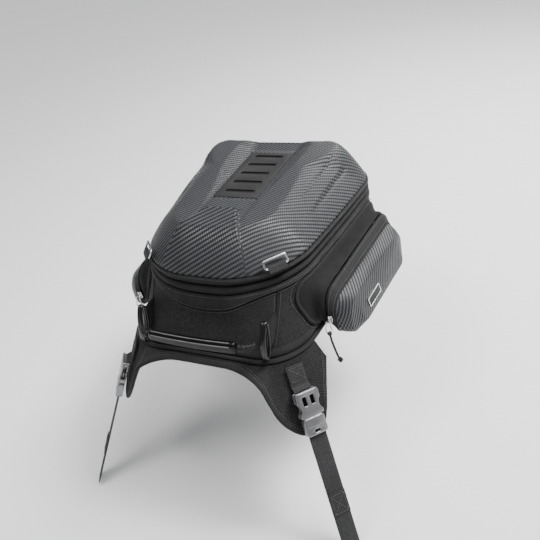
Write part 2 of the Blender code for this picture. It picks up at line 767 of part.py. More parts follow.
def skirt_edge():
    """The free edge of the right half of the rear skirt, from the middle of the rear round the wing's tip."""
    return [
        Vector(point)
        for point in (
            (0.000, -0.205, 0.0075),
            (0.024, -0.205, 0.0075),
            (0.048, -0.206, 0.0070),
            (0.074, -0.212, 0.0020),
            (0.097, -0.222, -0.0080),
            (0.108, -0.227, -0.0270),
            (0.117, -0.230, -0.0450),
            (0.128, -0.228, -0.0620),
            (0.141, -0.221, -0.0760),
            (0.152, -0.210, -0.0820),
            (0.159, -0.198, -0.0790),
            (0.160, -0.183, -0.0630),
            (0.156, -0.162, -0.0370),
            (0.151, -0.140, -0.0100),
        )
    ]


def foot_point(edge_point, grow):
    """Where a line from an edge point towards the inside of the case crosses the foot of the case."""
    inside = Vector((0.060 * min(1.0, edge_point.x / 0.05), -0.100))
    start = Vector((edge_point.x, edge_point.y))
    outline = case_outline(0.0, grow)
    run = inside - start
    best = None
    for a, b in zip(outline, outline[1:] + outline[:1]):
        side = b - a
        cross = run.x * side.y - run.y * side.x
        if abs(cross) < 1e-12:
            continue
        offset = a - start
        t = (offset.x * side.y - offset.y * side.x) / cross
        s = (offset.x * run.y - offset.y * run.x) / cross
        if 0 <= t <= 1 and -1e-9 <= s <= 1 + 1e-9 and (best is None or t < best):
            best = t
    return start + run * best


def build_skirt():
    rows = []
    top_z = PANEL_TOP - 0.0006
    for free in skirt_edge():
        foot = foot_point(free, 0.0062)
        top = Vector((foot.x, foot.y, top_z))
        rows.append([top.lerp(free, share) for share in (0.0, 0.34, 0.67, 1.0)])
    left = [[Vector((-p.x, p.y, p.z)) for p in row] for row in rows[:0:-1]]
    rows = left + rows
    made = bmesh.new()
    grid = [[made.verts.new(point) for point in row] for row in rows]
    for a, b in zip(grid, grid[1:]):
        for i in range(len(a) - 1):
            made.faces.new((a[i], a[i + 1], b[i + 1], b[i]))
    obj = add("harness_skirt", made, FABRIC)
    if obj.data.polygons[len(obj.data.polygons) // 2].normal.z < 0:
        obj.data.flip_normals()
    modifier = obj.modifiers.new("Solidify", "SOLIDIFY")
    modifier.thickness = 0.0038
    modifier.offset = -1
    smooth(obj, 50)
    return obj


def strap_frame(top, run, out):
    """X across the strap, Y up along it and Z away from what it lies on, from the top of its buckle."""
    up = -run.normalized()
    face = (out - up * out.dot(up)).normalized()
    across = up.cross(face)
    return Matrix.Translation(top) @ Matrix((across, up, face)).transposed().to_4x4()


def ribbon(name, frame, stations, half, thickness, look):
    """A flat strap along the frame's Y. Each station is a Y and the Z of the strap's underside."""
    rings = []
    for y, z in stations:
        corners = ((-half, z), (half, z), (half, z + thickness), (-half, z + thickness))
        rings.append([frame @ Vector((x, y, height)) for x, height in corners])
    return skin(name, rings, look)


def lie(frame, tree, y, half, lift, floor):
    """How high a strap lies above the frame at Y, resting on what is under it."""
    heights = [floor]
    for x in (-half, 0.0, half):
        start = frame @ Vector((x, y, 0.05))
        found = tree.ray_cast(start, frame.to_3x3() @ Vector((0, 0, -1)), 0.08)
        if found[0] is not None:
            heights.append((frame.inverted() @ found[0]).z + lift)
    return max(heights)


BUCKLE_Z = 0.0056
BUCKLE_LENGTH = 0.034
MALE_LENGTH = 0.024


def build_buckle(side, frame):
    """A side-release buckle: the upper, hollow half and the lower half with its two arms."""
    half = 0.0165
    low = BUCKLE_Z
    high = BUCKLE_Z + 0.0095
    name = f"buckle_female_{side}"
    female = bevel(box(name, (-half, -BUCKLE_LENGTH, low), (half, 0.0, high), BUCKLE, frame), 0.0015)
    cavity = box(
        f"{name}_cavity", (-0.0135, -BUCKLE_LENGTH - 0.01, low + 0.0022), (0.0135, -0.0095, high - 0.002),
        None, frame, CUTTERS,
    )
    boolean(female, cavity)
    for i, x in enumerate((-0.0055, 0.0055)):
        window = box(
            f"{name}_window_{i}", (x - 0.003, -0.019, low + 0.004), (x + 0.003, -0.006, high + 0.01),
            None, frame, CUTTERS,
        )
        boolean(female, window)
    for i, x in enumerate((-half, half)):
        notch = box(
            f"{name}_notch_{i}", (x - 0.0045, -0.027, low - 0.005), (x + 0.0045, -0.014, high + 0.005),
            None, frame, CUTTERS,
        )
        boolean(female, notch)
    name = f"buckle_male_{side}"
    top = -BUCKLE_LENGTH - GAP
    male = bevel(box(name, (-0.015, top - MALE_LENGTH, low), (0.015, top, high), BUCKLE, frame), 0.0015)
    for i, x in enumerate((-0.0098, 0.0, 0.0098)):
        reach = 0.019 if x else 0.012
        arm = box(
            f"{name}_arm_{i}", (x - 0.0018, top - 0.002, low + 0.003), (x + 0.0018, top + reach, high - 0.0028),
            None, frame, CUTTERS,
        )
        boolean(male, arm, "UNION")
    hole = box(
        f"{name}_slot", (-0.0135, top - 0.019, low - 0.005), (0.0135, top - 0.0155, high - 0.002),
        None, frame, CUTTERS,
    )
    boolean(male, hole)
    return female, male


def build_strap(side, frame, sewn, lower_length, tree):
    """Upper strap sewn to the harness, buckle, and lower strap down to its sewn loop."""
    half = STRAP_WIDTH / 2
    stations = []
    count = 8
    for i in range(count + 1):
        y = 0.0006 + (sewn - 0.0006) * i / count
        floor = BUCKLE_Z + 0.003 if i == 0 else 0.0008
        stations.append((y, lie(frame, tree, y, half, 0.0008, floor)))
    upper = ribbon(f"strap_upper_{side}", frame, stations, half, STRAP_THICKNESS, WEBBING)
    female, male = build_buckle(side, frame)
    foot = -BUCKLE_LENGTH - GAP - MALE_LENGTH - 0.0006
    middle = BUCKLE_Z + 0.003
    stations = [(foot, middle), (foot - lower_length / 2, middle), (foot - lower_length, middle)]
    lower = ribbon(f"strap_lower_{side}", frame, stations, half, STRAP_THICKNESS, WEBBING)
    return upper, female, male, lower


def build_straps(skirt):
    graph = bpy.context.evaluated_depsgraph_get()
    tree = BVHTree.FromObject(skirt, graph)
    frame = strap_frame(STRAP_TOP, STRAP_RUN, STRAP_OUT)
    for piece in build_strap("right", frame, SEWN_LENGTH, LOWER_LENGTH, tree):
        both_sides(piece)
    frame = strap_frame(FRONT_STRAP_TOP, FRONT_STRAP_RUN, FRONT_STRAP_OUT)
    for piece in build_strap("front", frame, SEWN_LENGTH, FRONT_LOWER_LENGTH, tree):
        baked(piece)


# Carrying handle.


def build_handle():
    """A ribbed grip on two flexible ends, which turn in upright oval loops sewn to the rear wall."""
    count = 6
    rings = []
    for i in range(count + 1):
        x = -GRIP_HALF + 2 * GRIP_HALF * i / count
        sag = 0.0025 * (1 - (x / GRIP_HALF) ** 2)
        ring = []
        for k in range(12):
            turn = 2 * math.pi * k / 12
            ring.append(Vector((x, GRIP_Y - sag + 0.0065 * math.cos(turn), GRIP_Z + 0.0095 * math.sin(turn))))
        rings.append(ring)
    smooth(skin("handle_grip", rings, RUBBER))
    start = GRIP_HALF + 0.0012
    route = [
        (start, GRIP_Y, GRIP_Z),
        (start + 0.006, GRIP_Y + 0.0004, GRIP_Z),
        (start + 0.013, GRIP_Y + 0.006, GRIP_Z - 0.002),
        (HANDLE_END_X - 0.0050, HANDLE_PIVOT_Y - 0.006, HANDLE_PIVOT_Z + 0.001),
    ]
    both_sides(tube("handle_flex_right", smooth_curve(route, 0.004), 0.0058, RUBBER, sides=3))
    points = []
    for i in range(20):
        turn = 2 * math.pi * i / 20
        tall = HANDLE_LOOP_TALL * math.sin(turn)
        deep = HANDLE_LOOP_DEEP * math.cos(turn)
        points.append((HANDLE_LOOP_X, HANDLE_LOOP_Y + deep + tall * HANDLE_LOOP_LEAN, HANDLE_PIVOT_Z + tall))
    both_sides(tube("handle_loop_right", points, HANDLE_LOOP_RADIUS, RUBBER, cyclic=True))
    rings = []
    low, high = HANDLE_LOOP_X - ANCHOR_HALF_WIDTH, HANDLE_LOOP_X + ANCHOR_HALF_WIDTH
    for z in ANCHOR_LEVELS:
        tall = z - HANDLE_PIVOT_Z
        deep = HANDLE_LOOP_DEEP * math.sqrt(1 - (tall / HANDLE_LOOP_TALL) ** 2)
        near = HANDLE_LOOP_Y + tall * HANDLE_LOOP_LEAN + deep + HANDLE_LOOP_RADIUS + 0.0006
        ring = [Vector((low, near, z)), Vector((high, near, z))]
        ring += [Vector((x, case_rear_y(x, z) - WALL_CLEARANCE, z)) for x in (high, low)]
        rings.append(ring)
    both_sides(skin("handle_anchor_right", rings, WEBBING))


build_base()
build_case()
build_bands()
build_lid()
build_lid_rings()
build_pockets()
build_pocket_sliders()
build_main_sliders()
build_straps(build_skirt())
build_handle()
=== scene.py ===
"""Looks of the motorcycle tank bag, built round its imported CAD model.

Metres, +Z up, +Y towards the handlebars, +X to the rider's right. Soft and moulded pieces are rebuilt as
dense surfaces where their CAD solids are. A left-hand piece with a right-hand twin is its mirror.
"""

import math

import bmesh
import bpy
import numpy as np
from mathutils import Matrix, Vector, noise
from mathutils.bvhtree import BVHTree


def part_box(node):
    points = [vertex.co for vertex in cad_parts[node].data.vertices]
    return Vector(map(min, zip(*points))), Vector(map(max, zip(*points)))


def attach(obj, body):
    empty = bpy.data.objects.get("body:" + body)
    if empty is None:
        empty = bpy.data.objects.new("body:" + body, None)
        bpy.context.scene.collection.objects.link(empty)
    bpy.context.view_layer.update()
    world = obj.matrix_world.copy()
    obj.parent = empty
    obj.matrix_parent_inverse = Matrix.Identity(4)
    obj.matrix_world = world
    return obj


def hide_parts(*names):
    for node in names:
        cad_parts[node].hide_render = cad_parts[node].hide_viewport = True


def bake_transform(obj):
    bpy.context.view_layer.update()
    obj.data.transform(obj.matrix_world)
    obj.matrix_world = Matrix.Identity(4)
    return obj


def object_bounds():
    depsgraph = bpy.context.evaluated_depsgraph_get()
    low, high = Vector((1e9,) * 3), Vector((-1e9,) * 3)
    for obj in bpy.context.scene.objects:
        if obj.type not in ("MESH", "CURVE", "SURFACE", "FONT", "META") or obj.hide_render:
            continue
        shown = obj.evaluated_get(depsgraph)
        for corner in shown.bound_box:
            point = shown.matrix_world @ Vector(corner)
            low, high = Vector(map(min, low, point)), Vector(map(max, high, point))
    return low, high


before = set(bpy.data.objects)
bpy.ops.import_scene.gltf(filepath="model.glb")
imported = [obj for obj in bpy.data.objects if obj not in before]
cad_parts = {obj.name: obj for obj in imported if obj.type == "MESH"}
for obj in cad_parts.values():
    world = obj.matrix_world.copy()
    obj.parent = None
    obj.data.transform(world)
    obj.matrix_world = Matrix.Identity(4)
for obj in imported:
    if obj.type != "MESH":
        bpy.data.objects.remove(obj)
cad_low, cad_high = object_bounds()

# Case. A level is its height at the sides and at the middle of the rear. The outline and the levels are the
# CAD model's. The hinge tape reaches further than its CAD node. BAND_BACK is how far the bands reach inwards.
FOOT_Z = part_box("body_shell")[0].z
RIM_Z = 0.108
BAND_FOOT = (0.080, 0.062)
BAND_BACK = -0.0035
EXPANSION_ZIP = (0.089, 0.084)
MAIN_ZIP = (0.0995, 0.0965)
DIP_HALF_WIDTH = 0.095
HINGE_TAPE_TOP = 0.1052
HINGE_TAPE_HALF = 0.092
REAR_Y = -0.152
FRONT_Y = 0.150
REAR_HALF = 0.108
FRONT_HALF = 0.143
REAR_RADIUS = 0.097
FRONT_RADIUS = 0.048
SIDE_BOW = 0.04
SEAM_X = 0.0955
CASE_WALL = 0.003
FLARE_REAR = 0.038
FLARE_SIDE = 0.018
FLARE_RADIUS = 0.042
FLARE_POWER = 1.6

# Lid. The CAD model's bulge is lower, its shell is thicker, and it has no ridge strips.
LID_LIP = 0.003
LID_DOME = 0.051
LID_SHOULDER = 0.075
LID_POWER = 1.9
LID_SKIN = 0.0025
FRONT_STEEPNESS = 1.6
VALLEY_FLOOR = 0.045
VALLEY_HALF = 0.036
VALLEY_SLOPE = 0.36
BULGE_FRONT_Y = -0.062
BULGE_REAR_Y = -0.145
BULGE_HALF_FRONT = 0.0235
BULGE_HALF_REAR = 0.067
BULGE_RISE = 0.0068
RIDGE_INNER = ((0.100, 0.082), (0.090, -0.034))
RIDGE_OUTER = ((0.1175, 0.086), (0.110, -0.030))
RIDGE_RISE = 0.0026
PLATE_LOW, PLATE_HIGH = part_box("slot_plate")
PLATE_THICKNESS = 0.0020
SLOT_HALF = 0.0195
SLOT_RADIUS = 0.0035
SLOT_FIRST_Y = -0.0115
SLOT_PITCH = 0.025
SLOT_COUNT = 5

# Lid rings.
RING_OUT = Vector((0.749, -0.662, 0.0)).normalized()
RING_DROP = 0.011
RING_HALF = 0.0155
RING_WIRE = 0.0014

# Side pockets. An outline is its rear and front Y and its lowest and highest Z. An OFF is its distance out.
POCKET_JOINT = (-0.122, 0.112, 0.020, 0.076)
POCKET_ZIP = (-0.108, 0.104, 0.010, 0.065)
POCKET_EDGE = (-0.107, 0.096, -0.002, 0.052)
POCKET_RIDGE = (-0.098, 0.085, -0.008, 0.042)
POCKET_FACE = (-0.078, 0.064, 0.000, 0.034)
ZIP_OFF = 0.019
EDGE_OFF = 0.031
RIDGE_OFF = 0.048
FACE_TOP_OFF = 0.051
FACE_FOOT_OFF = 0.058
POCKET_PLANE_TILT = 0.0765
ZIP_PLANE_X = 0.1545
POCKET_WALL = 0.002
CORNER_STEPS = 10
SIDE_STEPS = (40, 12, 40, 12)

# Zips.
COIL_PITCH = 0.0016
PULL_LENGTH = 0.016
MAIN_PULL_LENGTH = 0.020
PULL_WIRE = 0.0009
CORD_GAP = 0.0066
SLIDER_Z = 0.026
SLIDER_X = ZIP_PLANE_X + POCKET_PLANE_TILT * POCKET_ZIP[0] + 0.0048
POCKET_SLIDER = Vector((SLIDER_X, POCKET_ZIP[0] - 0.0012, SLIDER_Z))

# Harness.
STRAP_TOP = Vector((0.1315, -0.1885, -0.028))
STRAP_RUN = Vector((0.315, -0.383, -0.869))
STRAP_OUT = Vector((0.747, -0.4545, 0.4848))
FRONT_STRAP_TOP = Vector((0.0, 0.190, -0.010))
FRONT_STRAP_RUN = Vector((0.0, 0.80, -0.60))
FRONT_STRAP_OUT = Vector((0.0, 0.60, 0.80))
STRAP_HALF = 0.0125
STRAP_THICKNESS = 0.0018
SEWN_LENGTH = 0.033
LOWER_LENGTH = 0.160
FRONT_LOWER_LENGTH = 0.110
SKIRT_EDGE = (
    (0.000, -0.205, 0.0075), (0.024, -0.205, 0.0075), (0.048, -0.206, 0.0070), (0.074, -0.212, 0.0020),
    (0.097, -0.222, -0.0080), (0.108, -0.227, -0.0270), (0.117, -0.230, -0.0450), (0.128, -0.228, -0.0620),
    (0.141, -0.221, -0.0760), (0.152, -0.210, -0.0820), (0.159, -0.198, -0.0790), (0.160, -0.183, -0.0630),
    (0.156, -0.162, -0.0370), (0.151, -0.140, -0.0100),
)
SKIRT_THICKNESS = 0.0038
SKIRT_TOP_Z = 0.0072
BUCKLE_Z = 0.0056
BUCKLE_HEIGHT = 0.0095
BUCKLE_LENGTH = 0.034
MALE_LENGTH = 0.024
BUCKLE_GAP = 0.0004

# Handle.
GRIP_HALF = 0.066
GRIP_DEPTH = 0.0052
GRIP_HEIGHT = 0.0086
GRIP_SAG = 0.0025
RIB_RISE = 0.16
RIB_TURNS = (math.radians(112), math.radians(158))
GRIP_Y = -0.206
GRIP_Z = 0.046
HANDLE_END_X = 0.0885
HANDLE_PIVOT = Vector((0.0, -0.187, 0.041))
HANDLE_LOOP_X = 0.0935
HANDLE_LOOP_Y = -0.182
HANDLE_LOOP_LEAN = 0.32
LOOP_TALL = 0.024
LOOP_DEEP = 0.0068

# Stitches: their pitch, and the thread's width and height.
STITCH_PITCH = 0.0034
THREAD = (0.0009, 0.0008)
UP = Vector((0.0, 0.0, 1.0))


# Objects and frames.


def linked(name, data):
    """A new object in the scene."""
    obj = bpy.data.objects.new(name, data)
    bpy.context.scene.collection.objects.link(obj)
    return obj


def placed(origin, x, y, z):
    """A frame from its origin and its three axes."""
    return Matrix.Translation(origin) @ Matrix((x, y, z)).transposed().to_4x4()


def turned(count):
    """Evenly spaced angles, once round."""
    return [2 * math.pi * i / count for i in range(count)]


# Camera, light and floor.


def build_camera():
    data = bpy.data.cameras.new("camera")
    data.lens = 46.667
    data.sensor_width = 36.0
    right = Vector((0.8930, 0.4054, -0.1954))
    up = Vector((-0.0911, 0.5881, 0.8037))
    camera = linked("camera", data)
    camera.matrix_world = placed((0.47567, -0.73863, 0.60242), right, up, right.cross(up))
    bpy.context.scene.camera = camera


def area_light(name, place, aim, size, power):
    data = bpy.data.lights.new(name, "AREA")
    data.shape = "RECTANGLE"
    data.size, data.size_y = size
    data.energy = power
    light = linked(name, data)
    light.location = place
    light.rotation_euler = (Vector(aim) - Vector(place)).to_track_quat("-Z", "Y").to_euler()


def build_studio():
    world = bpy.data.worlds.new("studio")
    world.use_nodes = True
    background = world.node_tree.nodes["Background"].inputs
    background["Color"].default_value = (0.93, 0.94, 0.96, 1.0)
    background["Strength"].default_value = 0.30
    bpy.context.scene.world = world
    area_light("key", (0.90, 0.45, 1.45), (0.05, 0.0, 0.08), (0.5, 0.5), 36)
    area_light("back", (0.35, 1.30, 0.90), (0.05, 0.0, 0.10), (1.0, 0.5), 20)
    area_light("fill", (-0.35, -0.65, 1.50), (0.0, -0.05, 0.08), (0.7, 0.4), 13)
    data = bpy.data.lights.new("sky", "SUN")
    data.energy = 2.2
    data.angle = math.radians(35)
    sun = linked("sky", data)
    sun.rotation_euler = Vector((-0.55, -0.20, -1.0)).to_track_quat("-Z", "Y").to_euler()
    mesh = bpy.data.meshes.new("floor")
    reach = 40.0
    level = cad_low.z - 0.002
    corners = [(-reach, -reach), (reach, -reach), (reach, reach), (-reach, reach)]
    mesh.from_pydata([(x, y, level) for x, y in corners], [], [(0, 1, 2, 3)])
    mesh.materials.append(Look("floor_paint", (0.90, 0.905, 0.91), 0.8).material)
    floor = linked("floor", mesh)


# Materials.


SOCKETS = {
    "specular": "Specular IOR Level",
    "coat": "Coat Weight",
    "coat_roughness": "Coat Roughness",
    "sheen": "Sheen Weight",
    "sheen_roughness": "Sheen Roughness",
}


class Look:
    """A node material. Sockets are given as numbers, or as the output of another of its nodes."""

    def __init__(self, name, colour, roughness, metallic=0.0, **constants):
        self.material = bpy.data.materials.new(name)
        self.material.use_nodes = True
        self.tree = self.material.node_tree
        self.shader = self.tree.nodes["Principled BSDF"]
        self.shader.inputs["Base Color"].default_value = (*colour, 1.0)
        self.shader.inputs["Roughness"].default_value = roughness
        self.shader.inputs["Metallic"].default_value = metallic
        for key, value in constants.items():
            self.shader.inputs[SOCKETS[key]].default_value = value

    def node(self, kind, inputs=(), **settings):
        made = self.tree.nodes.new("ShaderNode" + kind)
        for key, value in settings.items():
            setattr(made, key, value)
        for key, value in dict(inputs).items():
            if isinstance(value, bpy.types.NodeSocket):
                self.tree.links.new(value, made.inputs[key])
            else:
                made.inputs[key].default_value = value
        return made

    def math(self, operation, a, b=0.0, c=0.0):
        return self.node("Math", {0: a, 1: b, 2: c}, operation=operation).outputs[0]

    def plus(self, a, b):
        return self.math("ADD", a, b)

    def less(self, a, b):
        return self.math("SUBTRACT", a, b)

    def times(self, a, b):
        return self.math("MULTIPLY", a, b)

    def cloth(self):
        """The cloth's own flat coordinates, in metres."""
        split = self.node("SeparateXYZ", {0: self.node("UVMap", uv_map="cloth").outputs[0]})
        return split.outputs[0], split.outputs[1]

    def noise(self, scale, detail):
        vector = self.node("TexCoord").outputs["Object"]
        return self.node("TexNoise", {"Vector": vector, "Scale": scale, "Detail": detail}).outputs["Fac"]

    def range(self, value, low, high, to_low, to_high):
        inputs = {"Value": value, "From Min": low, "From Max": high, "To Min": to_low, "To Max": to_high}
        return self.node("MapRange", inputs).outputs[0]

    def mix(self, share, a, b):
        made = self.node("Mix", {"Factor": share}, data_type="RGBA")
        for socket, value in (("A", a), ("B", b)):
            found = [s for s in made.inputs if s.name == socket and s.type == "RGBA"][0]
            if isinstance(value, bpy.types.NodeSocket):
                self.tree.links.new(value, found)
            else:
                found.default_value = (*value, 1.0)
        return [s for s in made.outputs if s.type == "RGBA"][0]

    def colour(self, socket):
        self.tree.links.new(socket, self.shader.inputs["Base Color"])

    def rough(self, socket):
        self.tree.links.new(socket, self.shader.inputs["Roughness"])

    def bump(self, height, distance, strength=1.0):
        inputs = {"Height": height, "Distance": distance, "Strength": strength}
        self.tree.links.new(self.node("Bump", inputs).outputs[0], self.shader.inputs["Normal"])

    def wave(self, value, period):
        """0 to 1 and back over each period."""
        angle = self.times(value, 2 * math.pi / period)
        return self.math("MULTIPLY_ADD", self.math("SINE", angle), 0.5, 0.5)


def carbon_twill(name, tow, dark, light, roughness):
    """Satin-coated 2/2 twill: tows that pass over two and under two, which makes diagonal stripes. The over
    tows are painted lighter than the under tows as painted reflection, and each tow is lightest along its
    crown as a painted highlight.
    """
    look = Look(name, dark, roughness, specular=0.35)
    u, v = look.cloth()
    column = look.math("DIVIDE", u, tow)
    row = look.math("DIVIDE", v, tow)
    stair = look.less(look.math("FLOOR", column), look.math("FLOOR", row))
    phase = look.math("FLOORED_MODULO", stair, 4.0)
    over = look.math("LESS_THAN", phase, 1.5)
    crown_u = look.math("SINE", look.times(look.math("FRACT", column), math.pi))
    crown_v = look.math("SINE", look.times(look.math("FRACT", row), math.pi))
    under = look.less(1.0, over)
    crown = look.plus(look.times(over, crown_u), look.times(under, crown_v))
    # Painted reflection: over tows lighter than under tows, in patches, and lighter along each tow's crown as
    # a painted highlight.
    patchy = look.noise(38.0, 4.0)
    painted_reflection = look.times(over, look.range(patchy, 0.3, 0.7, 0.82, 1.0))
    look.colour(look.mix(look.times(painted_reflection, look.range(crown, 0.0, 1.0, 0.55, 1.0)), dark, light))
    fibre = look.wave(look.plus(look.times(over, u), look.times(under, v)), tow / 5)
    weave_gloss = look.range(over, 0.0, 1.0, roughness + 0.24, roughness - 0.06)
    look.rough(look.plus(weave_gloss, look.times(fibre, 0.05)))
    height = look.math("MULTIPLY_ADD", crown, 0.8, look.times(over, 0.3))
    look.bump(look.math("MULTIPLY_ADD", fibre, 0.06, height), 0.00035, 0.8)
    return look


def woven(name, colour, pitch, roughness, ribs=0.0, contrast=0.45, mottle=0.25, depth=0.00025):
    """Plain-woven cloth. Ribs, if any, run across the cloth at that pitch."""
    look = Look(name, colour, roughness, specular=0.25, sheen=0.04, sheen_roughness=0.4)
    u, v = look.cloth()
    warp = look.wave(u, pitch)
    weft = look.wave(v, pitch)
    checker = look.math("ABSOLUTE", look.less(warp, weft))
    if ribs:
        checker = look.plus(look.times(checker, 0.4), look.times(look.wave(u, ribs), 0.6))
    fine = look.noise(430.0, 3.0)
    broad = look.noise(26.0, 4.0)
    weave_tone = look.range(checker, 0.0, 1.0, 1 - contrast, 1.0)
    shade = look.plus(weave_tone, look.times(look.less(fine, 0.5), 2.4 * contrast))
    shade = look.times(shade, look.range(broad, 0.3, 0.7, 1 - mottle, 1 + mottle))
    dark = tuple(c * 0.25 for c in colour)
    light = tuple(c * 1.45 for c in colour)
    look.colour(look.mix(shade, dark, light))
    look.rough(look.range(fine, 0.3, 0.7, roughness - 0.07, roughness + 0.05))
    look.bump(look.math("MULTIPLY_ADD", fine, 0.5, checker), depth, 0.9)
    return look


def moulded(name, colour, roughness, grain=420.0, depth=0.00006, metallic=0.0, wear=0.06, **constants):
    """Rubber, plastic or plated metal: fine grain, with its gloss varying over the surface."""
    look = Look(name, colour, roughness, metallic, **constants)
    fine = look.noise(grain, 2.0)
    broad = look.noise(34.0, 4.0)
    dark = tuple(c * 0.72 for c in colour)
    light = tuple(min(1.0, c * 1.3) for c in colour)
    look.colour(look.mix(look.range(broad, 0.25, 0.75, 0.0, 1.0), dark, light))
    look.rough(look.range(broad, 0.3, 0.7, roughness - wear, roughness + wear))
    look.bump(fine, depth, 0.5)
    return look


def build_looks():
    return {
        # The twill's light colour is painted reflection on the over tows.
        "carbon": carbon_twill("carbon_twill", 0.0018, (0.0020, 0.0021, 0.0023), (0.075, 0.079, 0.086), 0.36),
        "fabric": woven("ballistic_nylon", (0.020, 0.020, 0.0205), 0.0029, 0.85, contrast=1.0),
        # A darker copy of the nylon: painted shade. The gusset, in shade under the pocket, uses it, as do the
        # rear seams and the loop tabs.
        "fabric_dark": woven("nylon_painted_shade", (0.0075, 0.0075, 0.0078), 0.0012, 0.85),
        "band": woven("band_webbing", (0.017, 0.017, 0.0175), 0.0012, 0.8, ribs=0.0026, contrast=0.8),
        "binding": woven("binding_tape", (0.013, 0.013, 0.0135), 0.0014, 0.75, contrast=0.45),
        "webbing": woven(
            "strap_webbing", (0.024, 0.024, 0.025), 0.0014, 0.75, ribs=0.0030, contrast=0.65, depth=0.0004
        ),
        "lining": woven("lining_cloth", (0.055, 0.055, 0.057), 0.0007, 0.85, contrast=0.2, depth=0.0001),
        "thread": moulded("thread", (0.065, 0.065, 0.067), 0.6, 900.0),
        "zipper": moulded("zip_coil", (0.006, 0.006, 0.0063), 0.40, 700.0),
        "mat": moulded("anti_slip_rubber", (0.018, 0.018, 0.018), 0.85, 260.0, 0.0004),
        "rubber": moulded("gloss_rubber", (0.0025, 0.0025, 0.0027), 0.34, 500.0, 0.00002, specular=0.22),
        "flex": moulded("flexible_rubber", (0.006, 0.006, 0.0063), 0.6, 500.0, 0.00003, specular=0.3),
        "loop": moulded("loop_rubber", (0.004, 0.004, 0.0043), 0.26, 500.0, 0.00002, specular=0.5),
        # Painted highlight: a light rubber for thin tubes along the grip's rib crests, standing for their
        # highlight lines.
        "rib": moulded("rib_rubber", (0.12, 0.12, 0.123), 0.25, 500.0, 0.00002, specular=0.5),
        "plate": moulded("matt_plate", (0.014, 0.014, 0.0145), 0.6, 650.0, 0.00005, specular=0.35),
        # Near-black: painted shade for the hollows behind the plate's slots and behind the buckles' openings.
        "hollow": moulded("hollow_painted_shade", (0.0015, 0.0015, 0.0015), 0.9, 300.0),
        "nickel": moulded("nickel", (0.60, 0.60, 0.61), 0.22, 300.0, 0.00002, metallic=1.0),
        "buckle": moulded("buckle_grey", (0.24, 0.24, 0.25), 0.32, 420.0, 0.00004, metallic=0.75),
        "cord": moulded("braided_cord", (0.008, 0.008, 0.0083), 0.75, 1400.0, 0.0003),
    }


# Mesh helpers.


def surface(name, grid, look, wrap_u=False, wrap_v=False, caps=False, plan=None, angle=40):
    """A mesh through a grid of points, with cloth coordinates from arc lengths or from the plan function."""
    grid = np.asarray(grid, float)
    count_u, count_v = grid.shape[:2]
    verts = grid.reshape(-1, 3)
    ring = np.concatenate([grid, grid[:1]]) if wrap_u else grid
    along = np.linalg.norm(np.diff(ring, axis=0), axis=2).mean(axis=1)
    u = np.concatenate([[0], np.cumsum(along)])
    tall = np.concatenate([grid, grid[:, :1]], axis=1) if wrap_v else grid
    across = np.linalg.norm(np.diff(tall, axis=1), axis=2).mean(axis=0)
    v = np.concatenate([[0], np.cumsum(across)])
    faces, flat = [], []
    for i in range(count_u if wrap_u else count_u - 1):
        i2 = (i + 1) % count_u
        for j in range(count_v if wrap_v else count_v - 1):
            j2 = (j + 1) % count_v
            corners = ((i, j, i, j), (i2, j, i + 1, j), (i2, j2, i + 1, j + 1), (i, j2, i, j + 1))
            faces.append([a * count_v + b for a, b, _, _ in corners])
            if plan is None:
                flat += [(u[a], v[b]) for _, _, a, b in corners]
            else:
                flat += [plan(grid[a, b]) for a, b, _, _ in corners]
    if caps:
        for i, turn in ((0, 1), (count_u - 1, -1)):
            loop = [i * count_v + j for j in range(count_v)][::turn]
            faces.append(loop)
            flat += [(verts[k][0], verts[k][2]) for k in loop]
    mesh = bpy.data.meshes.new(name)
    mesh.from_pydata([tuple(p) for p in verts], [], faces)
    layer = mesh.uv_layers.new(name="cloth")
    layer.data.foreach_set("uv", np.asarray(flat, np.float32).ravel())
    return finish_mesh(name, mesh, look, angle)


def finish_mesh(name, mesh, look, angle):
    mesh.materials.append(look.material)
    face_outwards(mesh)
    mesh.shade_smooth()
    mesh.set_sharp_from_angle(angle=math.radians(angle))
    return linked(name, mesh)


def face_outwards(mesh, weld=None):
    """Turns the faces outwards, after joining points nearer than the weld distance."""
    made = bmesh.new()
    made.from_mesh(mesh)
    if weld:
        bmesh.ops.remove_doubles(made, verts=made.verts, dist=weld)
    bmesh.ops.recalc_face_normals(made, faces=made.faces)
    made.to_mesh(mesh)
    made.free()


def fill_hole(mesh, test):
    """Closes the hole whose edges start at points that pass the test."""
    made = bmesh.new()
    made.from_mesh(mesh)
    hole = [edge for edge in made.edges if edge.is_boundary and test(edge.verts[0].co)]
    bmesh.ops.holes_fill(made, edges=hole, sides=0)
    made.to_mesh(mesh)
    made.free()


def baked(obj):
    """Replaces an object's mesh or curve by what its modifiers make of it."""
    graph = bpy.context.evaluated_depsgraph_get()
    mesh = bpy.data.meshes.new_from_object(obj.evaluated_get(graph))
    mesh.transform(obj.matrix_world)
    name = obj.name
    bpy.data.objects.remove(obj, do_unlink=True)
    return linked(name, mesh)


def thicken(obj, thickness):
    """Gives a sheet its thickness, on its inner side."""
    modifier = obj.modifiers.new("Thickness", "SOLIDIFY")
    modifier.thickness = thickness
    modifier.offset = -1.0
    modifier.use_even_offset = False
    return baked(obj)


def joined(name, objects):
    """One object from several, which share their look."""
    made = bmesh.new()
    mesh = bpy.data.meshes.new(name)
    for look in objects[0].data.materials:
        mesh.materials.append(look)
    for obj in objects:
        obj.data.transform(obj.matrix_world)
        made.from_mesh(obj.data)
        bpy.data.objects.remove(obj, do_unlink=True)
    made.to_mesh(mesh)
    made.free()
    return linked(name, mesh)


